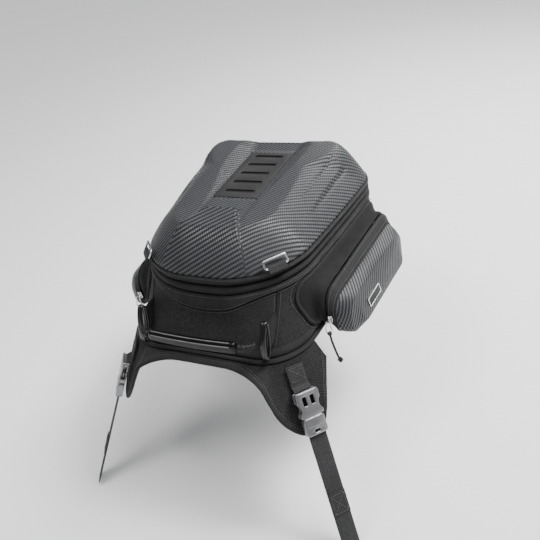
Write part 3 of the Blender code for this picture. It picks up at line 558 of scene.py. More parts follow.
def mirrored(obj, name):
    """A copy of an object on the other side of the bag."""
    mesh = obj.data.copy()
    mesh.transform(obj.matrix_world)
    mesh.transform(Matrix.Scale(-1, 4, (1, 0, 0)))
    mesh.flip_normals()
    return linked(name, mesh)


def settle(obj, body, slot, *nodes):
    """Rides the piece on its body and has it stand for its CAD nodes."""
    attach(obj, body)
    if nodes:
        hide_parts(*nodes)
    return obj


def settle_pair(obj, body, slot, *nodes):
    """Settles a right-hand piece and its left-hand twin. Names and bodies swap right for left."""
    left = mirrored(obj, obj.name.replace("_right", "_left"))
    settle(obj, body, slot, *nodes)
    settle(left, body.replace("_right", "_left"), slot, *[node.replace("_right", "_left") for node in nodes])
    return obj, left


def directions(path, closed=False):
    """Unit tangents along a path."""
    path = np.asarray(path, float)
    if closed:
        along = np.roll(path, -1, axis=0) - np.roll(path, 1, axis=0)
    else:
        along = np.gradient(path, axis=0)
    return along / np.linalg.norm(along, axis=1, keepdims=True)


def sweep(name, path, profile, look, out, closed=False, angle=40):
    """A section carried along a path. Its points are (outwards, sideways). Out is one vector, or many."""
    path = np.asarray(path, float)
    along = directions(path, closed)
    out = np.broadcast_to(np.asarray(out, float), path.shape)
    out = out - along * (out * along).sum(axis=1, keepdims=True)
    out = out / np.linalg.norm(out, axis=1, keepdims=True)
    side = np.cross(along, out)
    profile = np.asarray(profile, float)
    if profile.ndim == 2:
        profile = np.broadcast_to(profile, (len(path), *profile.shape))
    grid = path[:, None] + out[:, None] * profile[:, :, :1] + side[:, None] * profile[:, :, 1:]
    return surface(name, grid, look, wrap_u=closed, wrap_v=True, caps=not closed, angle=angle)


def circle(radius, count=10, squash=1.0):
    return [(radius * math.cos(t), radius * squash * math.sin(t)) for t in turned(count)]


def squared(turn, power):
    """The cosine and sine of a turn, bent so that a circle becomes a rounded box."""
    return [math.copysign(abs(value) ** power, value) for value in (math.cos(turn), math.sin(turn))]


def smooth_curve(points, spacing):
    """Points along a Catmull-Rom curve through the given ones."""
    points = [Vector(point) for point in points]
    path = [points[0] * 2 - points[1], *points, points[-1] * 2 - points[-2]]
    found = [points[0]]
    for a, b, c, d in zip(path, path[1:], path[2:], path[3:]):
        count = max(2, round((c - b).length / spacing))
        for i in range(1, count + 1):
            t = i / count
            bend = (2 * a - 5 * b + 4 * c - d) * t**2
            twist = (3 * b - a - 3 * c + d) * t**3
            found.append(0.5 * (2 * b + (c - a) * t + bend + twist))
    return found


def evenly(path, spacing, closed=False):
    """Positions and tangents at an even spacing along a path."""
    path = np.asarray(path, float)
    if closed:
        path = np.concatenate([path, path[:1]])
    lengths = np.concatenate([[0], np.cumsum(np.linalg.norm(np.diff(path, axis=0), axis=1))])
    count = max(2, int(lengths[-1] / spacing))
    stations = (np.arange(count) + 0.5) * lengths[-1] / count
    places, ahead, behind = (
        np.stack([np.interp(stations + shift, lengths, path[:, k]) for k in range(3)], axis=1)
        for shift in (0.0, spacing / 4, -spacing / 4)
    )
    return places, unit(ahead - behind)


def unit(vectors):
    """Rows of vectors at length 1."""
    return vectors / np.maximum(np.linalg.norm(vectors, axis=-1, keepdims=True), 1e-9)


def nearest(places, path):
    """The number of the path's point that is nearest to each place."""
    return ((places[:, None] - np.asarray(path, float)[None]) ** 2).sum(axis=2).argmin(axis=1)


def beads(name, places, along, out, look, length, width, height):
    """Small rounded bodies along a line, such as stitches or zip teeth: long in along, tall in out."""
    out = np.broadcast_to(np.asarray(out, float), places.shape)
    out = unit(out - along * (out * along).sum(axis=1, keepdims=True))
    side = np.cross(along, out)
    section = [(-0.5, 0.35), (-0.25, 0.9), (0.0, 1.0), (0.25, 0.9), (0.5, 0.35)]
    sides = 6
    local = np.array([(s, r * math.cos(t), r * math.sin(t)) for s, r in section for t in turned(sides)])
    verts = (
        places[:, None]
        + along[:, None] * local[None, :, :1] * length
        + side[:, None] * local[None, :, 1:2] * width / 2
        + out[:, None] * local[None, :, 2:] * height / 2
    ).reshape(-1, 3)
    faces = []
    for n in range(len(places)):
        base = n * len(local)
        for r in range(len(section) - 1):
            a, b = base + r * sides, base + (r + 1) * sides
            for k in range(sides):
                k2 = (k + 1) % sides
                faces.append((a + k, a + k2, b + k2, b + k))
        faces.append([base + k for k in range(sides)][::-1])
        faces.append([base + (len(section) - 1) * sides + k for k in range(sides)])
    mesh = bpy.data.meshes.new(name)
    mesh.from_pydata([tuple(p) for p in verts], [], faces)
    return finish_mesh(name, mesh, look, 70)


def stitches(name, path, out, closed=False, pitch=STITCH_PITCH, lift=0.0):
    """A row of thread stitches lying on a surface."""
    places, along = evenly(path, pitch, closed)
    out = np.asarray(out, float)
    if out.ndim == 2:
        out = out[nearest(places, path)]
    return beads(name, places + out * lift, along, out, LOOKS["thread"], pitch * 0.66, *THREAD)


def plate(name, outline, holes, low, high, edge, look, place=Matrix()):
    """A flat plate with rounded edges and through holes, in the XY plane of a frame."""
    curve = bpy.data.curves.new(name, "CURVE")
    curve.dimensions = "2D"
    curve.fill_mode = "BOTH"
    curve.extrude = (high - low) / 2 - edge
    curve.bevel_depth = edge
    curve.bevel_resolution = 2
    curve.offset = -edge
    for points in (outline, *holes):
        spline = curve.splines.new("POLY")
        spline.points.add(len(points) - 1)
        for target, (x, y) in zip(spline.points, points):
            target.co = (x, y, 0.0, 1.0)
        spline.use_cyclic_u = True
    curve.materials.append(look.material)
    obj = linked(name, curve)
    obj.matrix_world = place @ Matrix.Translation((0, 0, (low + high) / 2))
    bpy.context.view_layer.update()
    obj = baked(obj)
    face_outwards(obj.data, weld=1e-6)
    layer = obj.data.uv_layers.new(name="cloth")
    flat = [place.inverted() @ obj.data.vertices[loop.vertex_index].co for loop in obj.data.loops]
    layer.data.foreach_set("uv", np.array([(p.x, p.y) for p in flat], np.float32).ravel())
    obj.data.shade_smooth()
    obj.data.set_sharp_from_angle(angle=math.radians(35))
    return obj


def rounded_rectangle(x_low, x_high, y_low, y_high, radius, steps=5):
    points = []
    corners = ((x_high, y_high, 0), (x_low, y_high, 90), (x_low, y_low, 180), (x_high, y_low, 270))
    for x, y, start in corners:
        cx = x - radius if x == x_high else x + radius
        cy = y - radius if y == y_high else y + radius
        for i in range(steps + 1):
            turn = math.radians(start + 90 * i / steps)
            points.append((cx + radius * math.cos(turn), cy + radius * math.sin(turn)))
    return points


# The plan of the case, and rings of points round it.

STEPS = {"rear": 8, "corner": 64, "side": 120, "front_corner": 22, "front": 26}


def half_outline(rear_y, front_y, rear_half, front_half, rear_radius, front_radius):
    """The right half of the plan, from the middle of the rear edge to the middle of the front edge."""
    out = Vector((front_y - rear_y, rear_half - front_half)).normalized()
    side = Vector((rear_half, rear_y)).dot(out)
    side_angle = math.atan2(out.y, out.x)
    arcs = []
    for radius, y, start, end, steps in (
        (rear_radius, rear_y + rear_radius, -math.pi / 2, side_angle, STEPS["corner"]),
        (front_radius, front_y - front_radius, side_angle, math.pi / 2, STEPS["front_corner"]),
    ):
        centre = Vector(((side - radius - y * out.y) / out.x, y))
        turns = [start + (end - start) * i / steps for i in range(steps + 1)]
        arcs.append([centre + radius * Vector((math.cos(turn), math.sin(turn))) for turn in turns])
    rear, front = arcs
    points = [Vector((rear[0].x * i / STEPS["rear"], rear_y)) for i in range(STEPS["rear"])]
    points += rear
    points += [rear[-1].lerp(front[0], i / STEPS["side"]) for i in range(1, STEPS["side"])]
    points += front
    last = STEPS["front"]
    points += [Vector((front[-1].x * (1 - i / last), front_y)) for i in range(1, last + 1)]
    middle = (rear_y + front_y) / 2
    half = (front_y - rear_y) / 2
    return [Vector((p.x * (1 + SIDE_BOW * (1 - ((p.y - middle) / half) ** 2)), p.y)) for p in points]


def case_outline(height, grow=0.0):
    share = clamped((height - FOOT_Z) / (RIM_Z - FOOT_Z))
    flare = (1 - share) ** FLARE_POWER
    right = half_outline(
        REAR_Y - FLARE_REAR * flare - grow,
        FRONT_Y + grow,
        REAR_HALF + FLARE_SIDE * flare + grow,
        FRONT_HALF + grow,
        REAR_RADIUS - FLARE_RADIUS * flare + grow,
        FRONT_RADIUS + grow,
    )
    return right + [Vector((-p.x, p.y)) for p in right[-2:0:-1]]


def dip(point):
    """1 at the middle of the rear wall, falling to 0 beside it."""
    if point.y > 0:
        return 0.0
    return math.cos(math.pi / 2 * min(1.0, abs(point.x) / DIP_HALF_WIDTH)) ** 2


def case_ring(level, grow=0.0):
    at_side = case_outline(level[0], grow)
    at_rear = case_outline(level[1], grow)
    ring = []
    for a, b in zip(at_side, at_rear):
        share = dip(a)
        flat = a.lerp(b, share)
        ring.append((flat.x, flat.y, level[0] + (level[1] - level[0]) * share))
    return np.array(ring)


def between(low, high, share):
    return tuple(a + (b - a) * share for a, b in zip(low, high))


def raised(level, height):
    return (level[0] + height, level[1] + height)


def ring_out(ring):
    """Level outward directions round a ring."""
    along = directions(ring, closed=True)
    out = np.stack([along[:, 1], -along[:, 0], np.zeros(len(ring))], axis=1)
    return out / np.linalg.norm(out, axis=1, keepdims=True)


def case_half_width(y, height):
    outline = case_outline(height)
    right = outline[: len(outline) // 2 + 1]
    for a, b in zip(right, right[1:]):
        if a.y <= y <= b.y and b.y > a.y:
            return a.x + (b.x - a.x) * (y - a.y) / (b.y - a.y)
    return right[len(right) // 2].x


def hoop(name, low, high, profile, look, ripple=0.0):
    """A closed hoop round the case. Its section's points are (share of the height, distance out)."""
    low_ring, high_ring = case_ring(low), case_ring(high)
    out = ring_out(low_ring)
    grid = np.empty((len(low_ring), len(profile), 3))
    for j, (share, off) in enumerate(profile):
        grid[:, j] = low_ring + (high_ring - low_ring) * share + out * off
    if ripple:
        for i in range(len(grid)):
            for j, (share, off) in enumerate(profile):
                if off > 0:
                    grid[i, j] += out[i] * ripple * noise.noise(Vector(grid[i, j]) * 42.0)
    return surface(name, grid, look, wrap_u=True, wrap_v=True, angle=50)


def coil(name, ring, out, tooth):
    """A zip's coil: teeth that lie across the zip, all round a ring."""
    places, along = evenly(ring, COIL_PITCH, closed=True)
    out = out[nearest(places, ring)]
    return beads(name, places, np.cross(along, out), out, LOOKS["zipper"], tooth, 0.0012, 0.0018)


def crowned(share):
    """How far a padded strip swells at a share of its width."""
    return 1 - abs(2 * share - 1) ** 3


def pillow(depth, crown):
    """A band's section: a rounded outer face that stands crown proud, and a flat back."""
    steps = 7
    points = [(i / steps, depth + crown * crowned(i / steps)) for i in range(steps + 1)]
    return points + [(1.0, BAND_BACK), (0.0, BAND_BACK)]


# The soft case.


def build_case():
    """The lofted wall of the case, sagging slightly between its seams."""
    foot = (FOOT_Z, FOOT_Z)
    levels = 34
    grid = []
    for k in range(levels + 1):
        share = k / levels
        ring = case_ring(between(foot, BAND_FOOT, share))
        out = ring_out(ring)
        for i, point in enumerate(ring):
            wave = noise.noise(Vector(point) * 15.0) * 0.0016
            wave += noise.noise(Vector((point[0] * 40, point[1] * 40, point[2] * 26))) * 0.0005
            seam = math.exp(-(((abs(point[0]) - SEAM_X) / 0.0022) ** 2)) if point[1] < -0.08 else 0.0
            pinch = math.sin(math.pi * min(1.0, share * 1.02)) ** 0.5 if 0 < share < 1 else 0.0
            ring[i] = point + out[i] * (wave * pinch - 0.0011 * seam - 0.0006 + 0.0006 * pinch)
        grid.append(ring)
    grid = np.array(grid).transpose(1, 0, 2)
    shell = surface("case_wall", grid, LOOKS["fabric"], wrap_u=True, angle=60)
    if shell.data.polygons[0].normal.y > 0:
        shell.data.flip_normals()
    shell = thicken(shell, CASE_WALL)
    settle(shell, "bag", "fabric", "body_shell")
    build_case_seams(foot)


def build_case_seams(foot):
    """Stitching along the piping, the band and the two upright rear seams."""
    rows = []
    for level in (raised(foot, 0.0095), raised(BAND_FOOT, -0.0022)):
        ring = case_ring(level)
        rows.append(stitches("row", ring, ring_out(ring), closed=True, lift=0.0004))
    for side in (-1, 1):
        for shift in (-0.0030, 0.0030):
            path = rear_upright(side * (SEAM_X + shift), raised(foot, 0.012), raised(BAND_FOOT, -0.004), 24)
            rows.append(stitches("row", path, (side * 0.5, -0.85, 0.1), lift=0.0006))
    settle(joined("case_stitching", rows), "bag", "fabric")
    seams = []
    for side in (-1, 1):
        path = rear_upright(side * SEAM_X, raised(foot, 0.010), raised(BAND_FOOT, -0.0005), 40)
        seams.append(sweep("seam", path, circle(0.0009, 8), LOOKS["fabric_dark"], (side * 0.5, -0.85, 0.1)))
    settle(joined("case_seams", seams), "bag", "fabric")


def rear_upright(x, low, high, count):
    """Points up the rear wall at an X."""
    return [on_rear_wall(case_ring(between(low, high, k / (count - 1))), x) for k in range(count)]


def on_rear_wall(ring, x):
    """The point of a ring's rear stretch at an X."""
    rear = ring[(ring[:, 1] < -0.03)]
    rear = rear[rear[:, 0].argsort()]
    return np.array([x, np.interp(x, rear[:, 0], rear[:, 1]), np.interp(x, rear[:, 0], rear[:, 2])])


def build_bands():
    lower_low, lower_high = raised(BAND_FOOT, 0.0004), raised(EXPANSION_ZIP, -0.0022)
    band = hoop("band_lower", lower_low, lower_high, pillow(0.0002, 0.0016), LOOKS["band"], ripple=0.0006)
    settle(band, "bag", "fabric", "lower_band")
    band = hoop(
        "band_upper", raised(EXPANSION_ZIP, 0.0022), raised(MAIN_ZIP, -0.0024),
        pillow(0.0004, 0.0014), LOOKS["binding"], ripple=0.0003,
    )
    settle(band, "bag", "fabric", "upper_band")
    rows = []
    for level in (raised(lower_low, 0.0022), raised(lower_high, -0.0018)):
        ring = case_ring(level, 0.0016)
        rows.append(stitches("row", ring, ring_out(ring), closed=True))
    settle(joined("band_stitching", rows), "bag", "fabric")
    build_zips()
    build_lid_edge()
    build_hinge_tape()


def build_zips():
    """The main and expansion zips: tape at the back of each groove, with a coil that bulges from it."""
    tape = [(0.0, -0.0030), (1.0, -0.0030), (1.0, -0.0038), (0.0, -0.0038)]
    for name, level, low, high, body, node in (
        ("expansion_zip", EXPANSION_ZIP, -0.0022, 0.0022, "bag", "expansion_zipper"),
        ("main_zip_lower", MAIN_ZIP, -0.0023, -0.0002, "bag", "main_zipper_lower"),
        ("main_zip_upper", MAIN_ZIP, 0.0002, 0.0023, "lid", "main_zipper_upper"),
    ):
        strip = hoop(name + "_tape", raised(level, low), raised(level, high), tape, LOOKS["zipper"])
        middle = (low + high) / 2
        ring = case_ring(raised(level, middle), -0.0022)
        settle(coil(name + "_coil", ring, ring_out(ring), high - low - 0.0003), body, "zipper")
        settle(strip, body, "zipper", node)


def build_lid_edge():
    """The rolled edge round the foot of the lid."""
    rim = (RIM_Z - 0.0004, RIM_Z - 0.0004)
    piping = [
        (0.0, 0.0), (0.12, 0.0018), (0.3, 0.0026), (0.5, 0.0028), (0.7, 0.0024), (0.84, 0.0021),
        (0.92, 0.0024), (1.0, 0.0014), (1.04, 0.0), (1.0, BAND_BACK), (0.0, BAND_BACK),
    ]
    edge = hoop("lid_edge_binding", raised(MAIN_ZIP, 0.0024), rim, piping, LOOKS["binding"], ripple=0.0002)
    settle(edge, "lid", "binding", "lid_binding")
    ring = case_ring((RIM_Z - 0.0022, RIM_Z - 0.0022), 0.0023)
    settle(stitches("lid_edge_stitching", ring, ring_out(ring), closed=True), "lid", "binding")


def build_hinge_tape():
    """Tape across the front of the main zip, sewn to the upper band and to the lid."""
    low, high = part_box("lid_hinge_tape")
    heights = [low.z + (HINGE_TAPE_TOP - low.z) * k / 20 for k in range(21)]
    profile = [(low.y, z) for z in heights] + [(high.y, z) for z in reversed(heights)]
    strip = []
    for i in range(61):
        x = HINGE_TAPE_HALF * (i / 30 - 1)
        strip.append([(x, y, z) for y, z in profile])
    tape = surface("hinge_tape", strip, LOOKS["binding"], wrap_v=True, caps=True)
    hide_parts("lid_hinge_tape")
    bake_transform(tape)


def build_base():
    """The rounded piping round the foot of the case; the panel and the mat under it stay as they are."""
    profile = [(0.5 + 0.5 * math.sin(turn), 0.0030 + 0.0021 * math.cos(turn)) for turn in turned(12)]
    level = (FOOT_Z + 0.0004, FOOT_Z + 0.0004)
    piping = hoop("foot_piping", level, raised(level, 0.0040), profile, LOOKS["binding"])
    settle(piping, "bag", "binding", "base_piping")
    # The tape that binds the wall to the foot, above the piping.
    tape = [(0.0, 0.0004), (0.15, 0.0016), (0.5, 0.0021), (0.85, 0.0014), (1.0, 0.0002)]
    tape += [(1.0, -0.001), (0.0, -0.001)]
    strip = hoop("foot_tape", raised(level, 0.0042), raised(level, 0.0120), tape, LOOKS["binding"])
    settle(strip, "bag", "binding")
    dress("anti_slip_mat", "mat")
    dress("base_panel", "fabric")
    for node in ("body_lining", "lid_lining", "floor_board"):
        dress(node, "lining")


def dress(node, look):
    """Gives a carried-over CAD node its material, with cloth coordinates from its own place."""
    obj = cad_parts[node]
    layer = obj.data.uv_layers.get("cloth") or obj.data.uv_layers.new(name="cloth")
    flat = []
    for polygon in obj.data.polygons:
        side = max(range(3), key=lambda axis: abs(polygon.normal[axis]))
        for index in polygon.vertices:
            co = obj.data.vertices[index].co
            flat.append((co.y, co.z) if side == 0 else (co.x, co.z) if side == 1 else (co.x, co.y))
    layer.data.foreach_set("uv", np.array(flat, np.float32).ravel())
    obj.data.materials.clear()
    obj.data.materials.append(LOOKS[look].material)


# Shape functions.


def clamped(value):
    return min(1.0, max(0.0, value))


def smooth_min(a, b, width):
    share = clamped(0.5 + 0.5 * (b - a) / width)
    return b + (a - b) * share - width * share * (1 - share)


def step(low, high, value):
    share = clamped((value - low) / (high - low))
    return share * share * (3 - 2 * share)


def line_x(line, y):
    (x1, y1), (x2, y2) = line
    return x1 + (x2 - x1) * (y - y1) / (y2 - y1)


def groove(distance, width):
    """1 on a line, falling to 0 beside it."""
    return math.exp(-((distance / width) ** 2))


def bulge_at(y):
    """How far back a point lies on the rear bulge, 0 to 1, and the bulge's half width there."""
    share = (BULGE_FRONT_Y - y) / (BULGE_FRONT_Y - BULGE_REAR_Y)
    return share, BULGE_HALF_FRONT + (BULGE_HALF_REAR - BULGE_HALF_FRONT) * share


# The moulded lid.


def lid_height(x, y, inset):
    """Height above the rim, with the moulded creases."""
    fall = 1 - min(inset, LID_SHOULDER) / LID_SHOULDER
    dome = LID_LIP + LID_DOME * (1 - fall**LID_POWER)
    crest = LID_LIP + LID_DOME - 0.008 * step(0.09, -0.06, y)
    away = abs(x)
    valley = VALLEY_FLOOR + VALLEY_SLOPE * max(0.0, away - VALLEY_HALF) + 0.15 * max(0.0, y - 0.111)
    # The transverse step between the plate and the front edge.
    ends = step(0.104, 0.106, y) * step(0.0145, 0.0085, abs(y - 0.1185))
    valley -= 0.0016 * ends * step(0.046, 0.043, away)
    height = smooth_min(smooth_min(dome, crest, 0.0015), valley, 0.001)
    share, half = bulge_at(y)
    rise = BULGE_RISE * (1 - 0.75 * clamped(share))
    sides = step(0.0, 0.0032, half - away)
    height += rise * sides * step(0.0, 0.0026, BULGE_FRONT_Y - y) * step(0.0, 0.010, inset)
    ahead = groove(y - BULGE_FRONT_Y - 0.0012, 0.0014) * step(0.004, -0.001, away - BULGE_HALF_FRONT)
    height -= 0.0012 * ahead
    # A raised strip along each outer ridge, square at its front end and fading out to the rear.
    inner, outer = line_x(RIDGE_INNER, y), line_x(RIDGE_OUTER, y)
    ends = step(0.093, 0.087, y) * step(-0.045, 0.03, y)
    height += RIDGE_RISE * ends * step(0.0, 0.0028, away - inner) * step(0.0, 0.0030, outer - away)
    height -= 0.0014 * ends * (groove(away - inner, 0.0020) + groove(outer - away, 0.0020))
    # The recess that holds the plate, with a fine groove round it.
    margin = max(away - PLATE_HIGH.x, y - PLATE_HIGH.y, PLATE_LOW.y - y)
    height -= 0.0026 * step(0.0008, -0.0010, margin)
    height -= 0.0007 * groove(margin - 0.0040, 0.0009)
    return height


def lid_cloth(point):
    """Where a point of the lid lies on the flat twill, which is stretched over the raised bulge."""
    x, y, z = point
    share, half = bulge_at(y)
    if share > 0.01 and abs(x) < half - 0.0012:
        return 0.7 * x, 0.5 * y + 0.95 * z
    return x, y + 0.45 * z


def lid_surface():
    """The lid's grid, from its rim inwards."""
    rings = 96
    rim = case_outline(RIM_Z)
    count = len(rim)
    outs = []
    for i in range(count):
        along = rim[(i + 1) % count] - rim[i - 1]
        outs.append(Vector((along.y, -along.x)).normalized())
    grid = np.empty((count, rings + 1, 3))
    for i, (point, out) in enumerate(zip(rim, outs)):
        steep = 1 + FRONT_STEEPNESS * max(0.0, out.y) ** 2
        reach = point.dot(out)
        for k in range(rings + 1):
            share = 0.985 * k / rings
            flat = point * (1 - share)
            height = lid_height(flat.x, flat.y, share * reach * steep)
            grid[i, k] = (flat.x, flat.y, RIM_Z + height)
    return grid


def build_lid():
    grid = lid_surface()
    foot = grid[:, :1].copy()
    foot[:, :, 2] = RIM_Z + 0.0004
    grid = np.concatenate([foot, grid], axis=1)
    shell = surface("lid_skin", grid, LOOKS["carbon"], wrap_u=True, plan=lid_cloth, angle=52)
    fill_hole(shell.data, lambda spot: spot.z > RIM_Z + 0.02)
    if shell.data.polygons[len(shell.data.polygons) // 2].normal.z < 0:
        shell.data.flip_normals()
    settle(thicken(shell, LID_SKIN), "lid", "carbon", "lid_shell")
    build_plate()


def plate_outline(grow, radius, steps=5):
    """The slotted plate's outline, grown or shrunk."""
    low, high = PLATE_LOW, PLATE_HIGH
    return rounded_rectangle(low.x - grow, high.x + grow, low.y - grow, high.y + grow, radius, steps)


def build_plate():
    top = PLATE_HIGH.z
    holes = []
    for i in range(SLOT_COUNT):
        y = SLOT_FIRST_Y + SLOT_PITCH * i
        reach = SLOT_HALF + SLOT_RADIUS
        hole = rounded_rectangle(-reach, reach, y - SLOT_RADIUS, y + SLOT_RADIUS, SLOT_RADIUS * 0.98, 6)
        holes.append(hole[::-1])
    outline = plate_outline(0.0, 0.003)
    made = plate("slotted_plate", outline, holes, top - PLATE_THICKNESS, top, 0.0005, LOOKS["plate"])
    settle(made, "lid", "plate_rubber", "slot_plate")
    # A near-black sheet under the slots: painted shade in the hollows behind them.
    under = plate_outline(-0.002, 0.002)
    made = plate("slot_shade_sheet", under, [], top - 0.0026, top - 0.0021, 0.0001, LOOKS["hollow"])
    settle(made, "lid", "plate_rubber")
    path = [(x, y, RIM_Z + lid_height(x, y, LID_SHOULDER)) for x, y in plate_outline(0.0042, 0.005, 4)]
    dense = []
    for a, b in zip(path, path[1:] + path[:1]):
        count = max(1, int((Vector(a) - Vector(b)).length / 0.002))
        for i in range(count):
            x, y = a[0] + (b[0] - a[0]) * i / count, a[1] + (b[1] - a[1]) * i / count
            dense.append((x, y, RIM_Z + lid_height(x, y, LID_SHOULDER)))
    settle(stitches("plate_stitching", dense, (0, 0, 1), closed=True, pitch=0.0030), "lid", "plate_rubber")


def ring_frame():
    low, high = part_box("lid_ring_right")
    up = (UP - 0.6 * RING_OUT).normalized()
    along = RING_OUT.cross(up).normalized() * -1
    middle = (low + high) / 2
    top = middle + up * RING_DROP / 2
    return placed(top, along, up.cross(along), up), top, up


def build_lid_rings():
    place, top, up = ring_frame()
    corner = 0.0022
    half, drop = RING_HALF, RING_DROP
    points = []
    for x, z, start in ((half - corner, -corner, 0), (-half + corner, -corner, 90),
                        (-half + corner, -drop + corner, 180), (half - corner, -drop + corner, 270)):
        for i in range(6):
            turn = math.radians(start + 90 * i / 5)
            points.append(place @ Vector((x + corner * math.cos(turn), 0, z + corner * math.sin(turn))))
    out = place.to_3x3() @ Vector((0, 1, 0))
    ring = sweep("wire_ring_right", points, circle(RING_WIRE, 12), LOOKS["nickel"], out, closed=True)
    settle_pair(ring, "ring_right", "nickel", "lid_ring_right")
    width, eye, thickness = 0.0123, 0.0019, 0.0012
    foot = (RIM_Z + 0.0015 - (top.z - drop * up.z)) / up.z
    turns = [math.pi * i / 12 for i in range(13)]
    outer, inner = [
        [(radius * math.cos(turn), radius * math.sin(turn)) for turn in turns]
        for radius in (eye + thickness, eye)
    ]
    legs = 6
    left = [(outer[0][0], foot * (1 - i / legs)) for i in range(legs)]
    right = [(outer[-1][0], foot * i / legs) for i in range(1, legs + 1)]
    back_right = [(inner[-1][0], foot * (1 - i / legs)) for i in range(legs)]
    back_left = [(inner[0][0], foot * i / legs) for i in range(1, legs + 1)]
    profile = [*left, *outer, *right, *back_right, *inner[::-1], *back_left]
    stations = [-1.0, -0.97, *[-0.9 + 0.1 * i for i in range(19)], 0.97, 1.0]
    grid = []
    for s in stations:
        pinch = 0.0 if abs(s) < 0.95 else 0.1
        grid.append([place @ Vector((s * width, y * (1 - pinch), z - drop)) for y, z in profile])
    tab = surface("tab_right", grid, LOOKS["webbing"], wrap_v=True, caps=True)
    settle_pair(tab, "lid", "webbing", "ring_tab_right")


# Side pockets.

def pocket_ring(bounds, top_off, foot_off=None, inset=0.0):
    """A rounded outline in Y and Z at a distance from the wall; a small distance follows the wall itself."""
    rear, front, low, high = bounds
    rear, front, low, high = rear + inset, front - inset, low + inset, high - inset
    foot_off = top_off if foot_off is None else foot_off
    tall = high - low
    radii = (0.46 * tall, 0.40 * tall, 0.28 * tall, 0.28 * tall)
    corners = ((rear, high, 1, -1), (front, high, -1, -1), (front, low, -1, 1), (rear, low, 1, 1))
    arcs = []
    for (y, z, side_y, side_z), radius, start in zip(corners, radii, (180, 90, 0, -90)):
        centre = Vector((y + side_y * radius, z + side_z * radius))
        turns = [math.radians(start - 90 * i / CORNER_STEPS) for i in range(CORNER_STEPS + 1)]
        arcs.append([centre + radius * Vector((math.cos(turn), math.sin(turn))) for turn in turns])
    flat = []
    for arc, following, steps in zip(arcs, arcs[1:] + arcs[:1], SIDE_STEPS):
        flat += arc
        flat += [arc[-1].lerp(following[0], i / steps) for i in range(1, steps)]
    ring = []
    for y, z in flat:
        off = top_off + (foot_off - top_off) * (high - z) / tall
        if off < 0.003:
            x = case_half_width(y, z) + off
        else:
            x = ZIP_PLANE_X + POCKET_PLANE_TILT * y + off - ZIP_OFF
        ring.append((x, y, z))
    return np.array(ring)


def lofted(rings, steps):
    """Rings between the given ones, straight from each to the next."""
    made = [rings[0]]
    for a, b, count in zip(rings, rings[1:], steps):
        made += [a + (b - a) * k / count for k in range(1, count + 1)]
    return made


def outward(ring, bulge):
    """Moves a pocket ring in its own plane, away from its middle."""
    middle = ring.mean(axis=0)
    away = ring - middle
    away[:, 0] = 0
    return ring + unit(away) * bulge


def round_ring(rings):
    """The rings as a grid that runs round them first, and then from ring to ring."""
    return np.array(rings).transpose(1, 0, 2)


def build_pockets():
    build_gusset()
    build_pocket_zip()
    build_pocket_band()
    build_pocket_shell()
    build_badge()


def build_gusset():
    """The cloth between the case and the pocket's zip, slightly drawn in, with its binding and stitches."""
    joint = pocket_ring(POCKET_JOINT, 0.0014)
    at_zip = pocket_ring(POCKET_ZIP, ZIP_OFF)
    rings = lofted([joint, at_zip], [12])
    for k, ring in enumerate(rings):
        share = k / (len(rings) - 1)
        fold = 0.0032 * math.sin(math.pi * share) - 0.0016 * math.sin(3 * math.pi * share)
        rings[k] = outward(ring, -fold)
    # The gusset is in the darker nylon, painted shade.
    gusset = surface("gusset_right", np.array(rings), LOOKS["fabric_dark"], wrap_v=True, angle=60)
    for vertex in gusset.data.vertices:
        share = (vertex.co.x - joint[:, 0].mean()) / (at_zip[:, 0].mean() - joint[:, 0].mean())
        swell = math.sin(math.pi * clamped(share))
        vertex.co.y += 0.0022 * swell * noise.noise(vertex.co * 46.0)
        vertex.co.z += 0.0022 * swell * noise.noise(vertex.co * 46.0 + Vector((7.0, 0, 0)))
    settle_pair(thicken(gusset, POCKET_WALL), "bag", "fabric", "pocket_gusset_right")
    ring = pocket_ring(POCKET_JOINT, 0.0026)
    section = circle(0.0019, 8, 1.5)
    bind = sweep("gusset_binding_right", ring, section, LOOKS["binding"], (1, 0, 0), closed=True)
    settle_pair(bind, "bag", "binding")
    ring = pocket_ring(POCKET_JOINT, 0.0012, inset=-0.0062) + (0.0006, 0, 0)
    settle_pair(stitches("gusset_stitching_right", ring, (1, 0, 0), closed=True), "bag", "fabric")


def build_pocket_zip():
    """A narrow tape and the coil that bulges from it."""
    rings = [pocket_ring(POCKET_ZIP, ZIP_OFF + 0.0004, inset=i) for i in (0.0022, 0.0030)]
    rings += [pocket_ring(POCKET_ZIP, ZIP_OFF + 0.0024, inset=i) for i in (0.0030, 0.0022)]
    tape = surface("pocket_zip_right", round_ring(rings), LOOKS["zipper"], wrap_u=True, wrap_v=True)
    settle_pair(tape, "bag", "zipper", "pocket_zipper_right")
    ring = pocket_ring(POCKET_ZIP, ZIP_OFF + 0.0014, inset=0.0016)
    settle_pair(coil("pocket_coil_right", ring, outward(ring, 1.0) - ring, 0.0019), "bag", "zipper")


